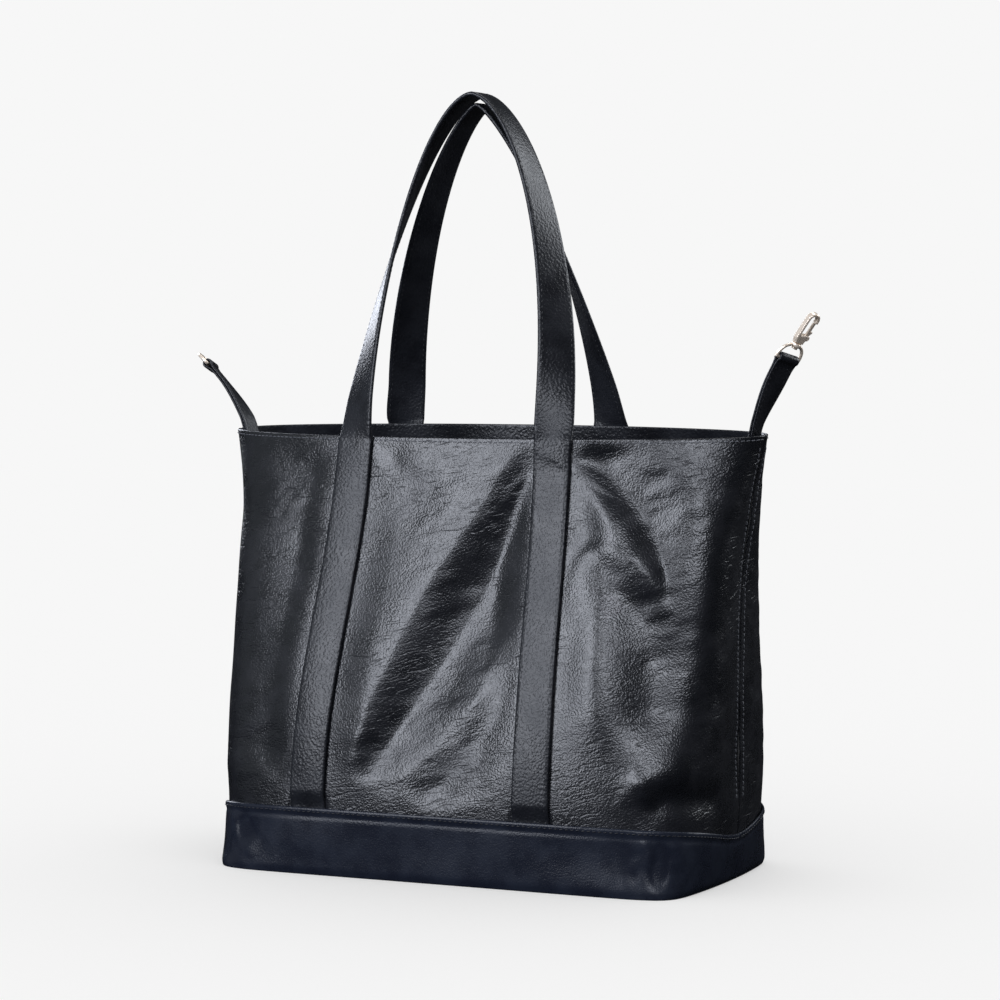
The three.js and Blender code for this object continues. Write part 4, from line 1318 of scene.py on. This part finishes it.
def stitch_shape(rings=5, sides=6):
    t = np.linspace(-0.8, 0.8, rings) * math.pi / 2
    along = stitch_length / 2 * np.sin(t) / np.sin(t[-1]) * 0.96
    r = stitch_radius * np.cos(t) ** 0.55
    a = np.linspace(0, 2 * math.pi, sides, endpoint=False)
    up = 0.12 + 0.22 * np.cos(t) - 0.35 * (1 - np.cos(t))
    body = np.stack([along[:, None] + 0 * a, r[:, None] * np.cos(a), up[:, None] + r[:, None] * np.sin(a)], -1)
    tips = [[-stitch_length / 2, 0, up[0] - 0.25], [stitch_length / 2, 0, up[-1] - 0.25]]
    points = np.concatenate([body.reshape(-1, 3), tips])
    index = np.arange(rings * sides).reshape(rings, sides)
    nxt = np.roll(index, -1, axis=1)
    quads = np.stack([index[:-1], nxt[:-1], nxt[1:], index[1:]], -1).reshape(-1, 4)[:, ::-1]
    first, last = rings * sides, rings * sides + 1
    fans = [
        np.stack([nxt[0], index[0], np.full(sides, first)], -1),
        np.stack([index[-1], nxt[-1], np.full(sides, last)], -1),
    ]
    return points, quads, np.concatenate(fans)[:, ::-1]


def stitch_row(path, out, sunk):
    """Points of stitches along a path: an array of stitches by points by xyz."""
    length = np.concatenate([[0], np.linalg.norm(np.diff(path, axis=0), axis=1).cumsum()])
    count = max(1, int(length[-1] / stitch_pitch))
    places = (np.arange(count) + 0.5) * length[-1] / count
    at = lambda values, where: np.stack([np.interp(where, length, values[:, k]) for k in range(3)], -1)
    along = at(path, places + 1) - at(path, places - 1)
    along /= np.linalg.norm(along, axis=1, keepdims=True)
    up = at(out, places)
    up -= (up * along).sum(1, keepdims=True) * along
    up /= np.linalg.norm(up, axis=1, keepdims=True)
    across = np.cross(up, along)
    shape = stitch_shape()[0]
    # Each stitch is set a little askew, all to the same side, as a sewing machine's lock stitch is.
    slant = shape[None, :, :1] * along[:, None] + (shape[None, :, 1:2] + 0.06 * shape[None, :, :1]) * across[:, None]
    return at(path, places)[:, None] + slant + (shape[None, :, 2:] - sunk) * up[:, None]


def stitches(name, rows, body=None, thread=black_thread, sunk=0.0):
    """One mesh for all rows: each row is (path, outward directions). Sunk pulls them into the leather."""
    made = np.concatenate([stitch_row(np.asarray(path), np.asarray(out), sunk) for path, out in rows])
    points, quads, fans = stitch_shape()
    start = (np.arange(len(made)) * len(points))[:, None, None]
    piece = mesh_piece(name, made.reshape(-1, 3), [(quads + start).reshape(-1, 4), (fans + start).reshape(-1, 3)])
    piece.data.materials.append(thread)
    if body:
        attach(piece, body)
    print(name, "has", len(made), "stitches")
    return piece


def grid_normals(grid):
    """Outward directions of a wall grid's points."""
    normal = np.cross(np.gradient(grid, axis=1), np.gradient(grid, axis=0))
    normal /= np.linalg.norm(normal, axis=-1, keepdims=True)
    outward_side = np.sign((normal[..., :2] * grid[..., :2]).sum(-1, keepdims=True).sum())
    return normal * outward_side


def along_height(grid, normal, height):
    """The path on a grid at a height given for each column, and the directions there."""

    def at(values):
        columns = range(grid.shape[1])
        return np.array([[np.interp(height[c], grid[:, c, 2], values[:, c, k]) for k in range(3)] for c in columns])

    return at(grid), at(normal)


print("a stitch has", len(stitch_shape()[0]), "points")

# %% Wall and band stitches
rim_stitch_drop, band_stitch_drop, seam_columns_off = 3.0, 3.0, 4
wall_rows, band_rows = [], []
for name, side in sides.items():
    grid = wall_grids[name]
    normal = grid_normals(grid)
    path, out = along_height(grid, normal, grid[-1, :, 2] + leather / 2 - rim_stitch_drop)
    wall_rows.append((path[2:-2], out[2:-2]))
    visible = grid[:, 0, 2] > band_height
    for column in (seam_columns_off, -1 - seam_columns_off):
        wall_rows.append((grid[visible, column][8:-6], normal[visible, column][8:-6]))
    band = band_grids[name]
    path, out = along_height(band, grid_normals(band), band[-1, :, 2] + leather / 2 - band_stitch_drop)
    band_rows.append((path[1:-1], out[1:-1]))
stitches("wall_stitches", wall_rows, "bag", rim_thread)
stitches("band_stitches", band_rows, "bag", sunk=0.2)

# %% Strap and tab stitches
strap_stitch_edge = 3.0


def strap_rows(rings, first, last):
    """Two rows of stitches on each face of a strap between two of its rings."""
    half = (strap_width - strap_thickness) / 2
    row_places = [-strap_width / 2 + strap_stitch_edge, strap_width / 2 - strap_stitch_edge]
    last_below = 2 * face_steps + edge_steps - 1
    rows = []
    for place in np.interp(row_places, np.linspace(-half, half, face_steps), np.arange(face_steps)):
        k, share = int(place), place % 1
        upper = lerp(rings[:, k], rings[:, k + 1], share)
        lower = lerp(rings[:, last_below - k], rings[:, last_below - 1 - k], share)
        for path, other in ((upper, lower), (lower, upper)):
            rows.append((path[first:last], (path - other)[first:last]))
    return rows


for name, side in sides.items():
    rings = handle_sections[name]
    rows = strap_rows(rings, 8, len(rings) - 8)
    blend_handle(stitches(f"{name}_handle_stitches", rows, sunk=0.5), name)

tab_stitch_edge = 2.6
row_off = tab_width / 2 - tab_stitch_edge
for name in tabs:
    line = tab_lines[name]
    eye_at = line[3]
    along = np.linspace(3, eye_at - 7, 120)
    over = np.linspace(0.9 - row_off, row_off - 0.9, 12)
    rows = []
    for face in (1, -1):
        flat = on_tab(line, np.stack([along, np.full_like(along, face * tab_thickness / 2)], -1), [-row_off, row_off])
        inside = on_tab(line, np.stack([along, 0 * along], -1), [-row_off, row_off])
        for edge in (0, 1):
            rows.append((flat[:, edge], (flat - inside)[:, edge]))
        cross = on_tab(line, np.array([[eye_at - 7.5, face * tab_thickness / 2]]), over)[0]
        centre = on_tab(line, np.array([[eye_at - 7.5, 0.0]]), over)[0]
        rows.append((cross, cross - centre))
    blend_tab(stitches(f"{name}_tab_stitches", rows, sunk=0.45), name)

# %% Lining stitches
pocket_stitch_edge = 2.5
pocket_side = pocket_width / 2 - pocket_stitch_edge
x = np.linspace(-pocket_side, pocket_side, 80)
z = np.linspace(pocket_floor + pocket_stitch_edge, pocket_floor + pocket_height - 3, 60)


def on_pocket(x, z):
    face, out = wall_front(1, np.asarray(x, float), np.asarray(z, float))
    inset = lining_inset + 2 * cloth + pocket_open(x, z)
    return face - inset[..., None] * out, -out


pocket_rows = [on_pocket(x, 0 * x + pocket_floor + pocket_stitch_edge)]
pocket_rows += [on_pocket(0 * z + edge * pocket_side, z) for edge in (-1, 1)]
pocket_rows.append(on_pocket(x, 0 * x + pocket_floor + pocket_height - 10.5))
stitches("pocket_stitches", pocket_rows, "bag")

# %% [markdown]
# The studio: a pale floor that runs into a pale backdrop. Black leather shows nothing but reflections, so what
# matters is what each wall can mirror. The tall key softbox stands where the front wall mirrors it, the window
# softbox is for the parts of the folds that turn to the right, and the fill card and the far left strip are for the
# left end. Two more light the back and the rim. Real lights would be flagged off the floor, and light linking does
# that here: the floor is left out of every light's receivers and lit by the pale room alone. To the gloss the floor
# and the room are dark, so only the softboxes are bright.

# %% Studio floor


def studio_floor():
    size, rows = 6000.0, 40
    x = np.linspace(-size, size, rows)
    grid = np.stack(np.meshgrid(x, x, indexing="ij") + [np.full((rows, rows), -0.05)], -1)
    index = np.arange(rows * rows).reshape(rows, rows)
    quads = np.stack([index[:-1, :-1], index[1:, :-1], index[1:, 1:], index[:-1, 1:]], -1).reshape(-1, 4)
    floor = mesh_piece("studio_floor", grid.reshape(-1, 3), quads)
    material = bpy.data.materials.new("pale_floor")
    material.use_nodes = True
    material.node_tree.nodes.clear()
    n = Nodes(material.node_tree)
    plain = n.add("ShaderNodeBsdfDiffuse", {"Color": (1.0, 1.0, 1.0, 1)})
    glow = n.add("ShaderNodeEmission", {"Color": (0.93, 0.93, 0.93, 1), "Strength": 1.0})
    paint = n.add("ShaderNodeMixShader", {0: 0.45, 1: plain.outputs[0], 2: glow.outputs[0]})
    flag = n.add("ShaderNodeBsdfDiffuse", {"Color": (0.02, 0.021, 0.024, 1)})
    ray = n.add("ShaderNodeLightPath")
    mixed = n.add("ShaderNodeMixShader", {0: ray.outputs["Is Camera Ray"], 1: flag.outputs[0], 2: paint.outputs[0]})
    n.add("ShaderNodeOutputMaterial", {"Surface": mixed.outputs[0]})
    floor.data.materials.append(material)
    return floor


def studio_world():
    world = bpy.data.worlds.new("studio_room")
    world.use_nodes = True
    world.node_tree.nodes.clear()
    n = Nodes(world.node_tree)
    ray = n.add("ShaderNodeLightPath")
    pale = n.add("ShaderNodeBackground", {"Color": (0.93, 0.93, 0.93, 1), "Strength": 1.0})
    dim = n.add("ShaderNodeBackground", {"Color": (0.85, 0.92, 1.0, 1), "Strength": 0.03})
    mixed = n.add("ShaderNodeMixShader", {0: ray.outputs["Is Glossy Ray"], 1: pale.outputs[0], 2: dim.outputs[0]})
    n.add("ShaderNodeOutputWorld", {"Surface": mixed.outputs[0]})
    bpy.context.scene.world = world


def softbox(name, azimuth, elevation, distance, width, height, power, colour=(1, 1, 1)):
    """A rectangle of light that faces the bag's middle. Azimuth 0 is in front, and it grows to the right."""
    data = bpy.data.lights.new(name, "AREA")
    data.shape = "RECTANGLE"
    data.size, data.size_y = width, height
    data.energy = power
    data.color = colour
    light = bpy.data.objects.new(name, data)
    bpy.context.scene.collection.objects.link(light)
    a, e = math.radians(azimuth), math.radians(elevation)
    target = Vector((0, 0, 0.2))
    light.location = target + distance * Vector((math.sin(a) * math.cos(e), -math.cos(a) * math.cos(e), math.sin(e)))
    light.rotation_mode = "QUATERNION"
    light.rotation_quaternion = (target - light.location).to_track_quat("-Z", "Y")
    return light


floor = studio_floor()
studio_world()
print("floor and room made")

# %% Softboxes off the floor
cool = (0.86, 0.90, 1.0)
lights = [
    softbox("key_softbox", -25.5, 23, 3.0, 1.1, 2.3, 80, cool),
    softbox("window_softbox", 19, 27, 3.0, 1.4, 0.8, 38, cool),
    softbox("left_fill_card", -68, 18, 3.0, 2.2, 2.4, 4.5, (0.85, 0.93, 1.0)),
    softbox("far_left_strip", -126, 24, 3.0, 1.0, 2.0, 42, cool),
    softbox("back_softbox", 136, 26, 3.0, 1.5, 1.5, 42, (0.9, 0.94, 1.0)),
    softbox("top_strip", 150, 70, 2.4, 2.2, 0.7, 18),
]

off_the_floor = bpy.data.collections.new("off_the_floor")
off_the_floor.objects.link(floor)
off_the_floor.collection_objects[0].light_linking.link_state = "EXCLUDE"
for light in lights:
    light.light_linking.receiver_collection = off_the_floor
bpy.context.scene.view_settings.view_transform = "Standard"
print("lights:", len(lights))
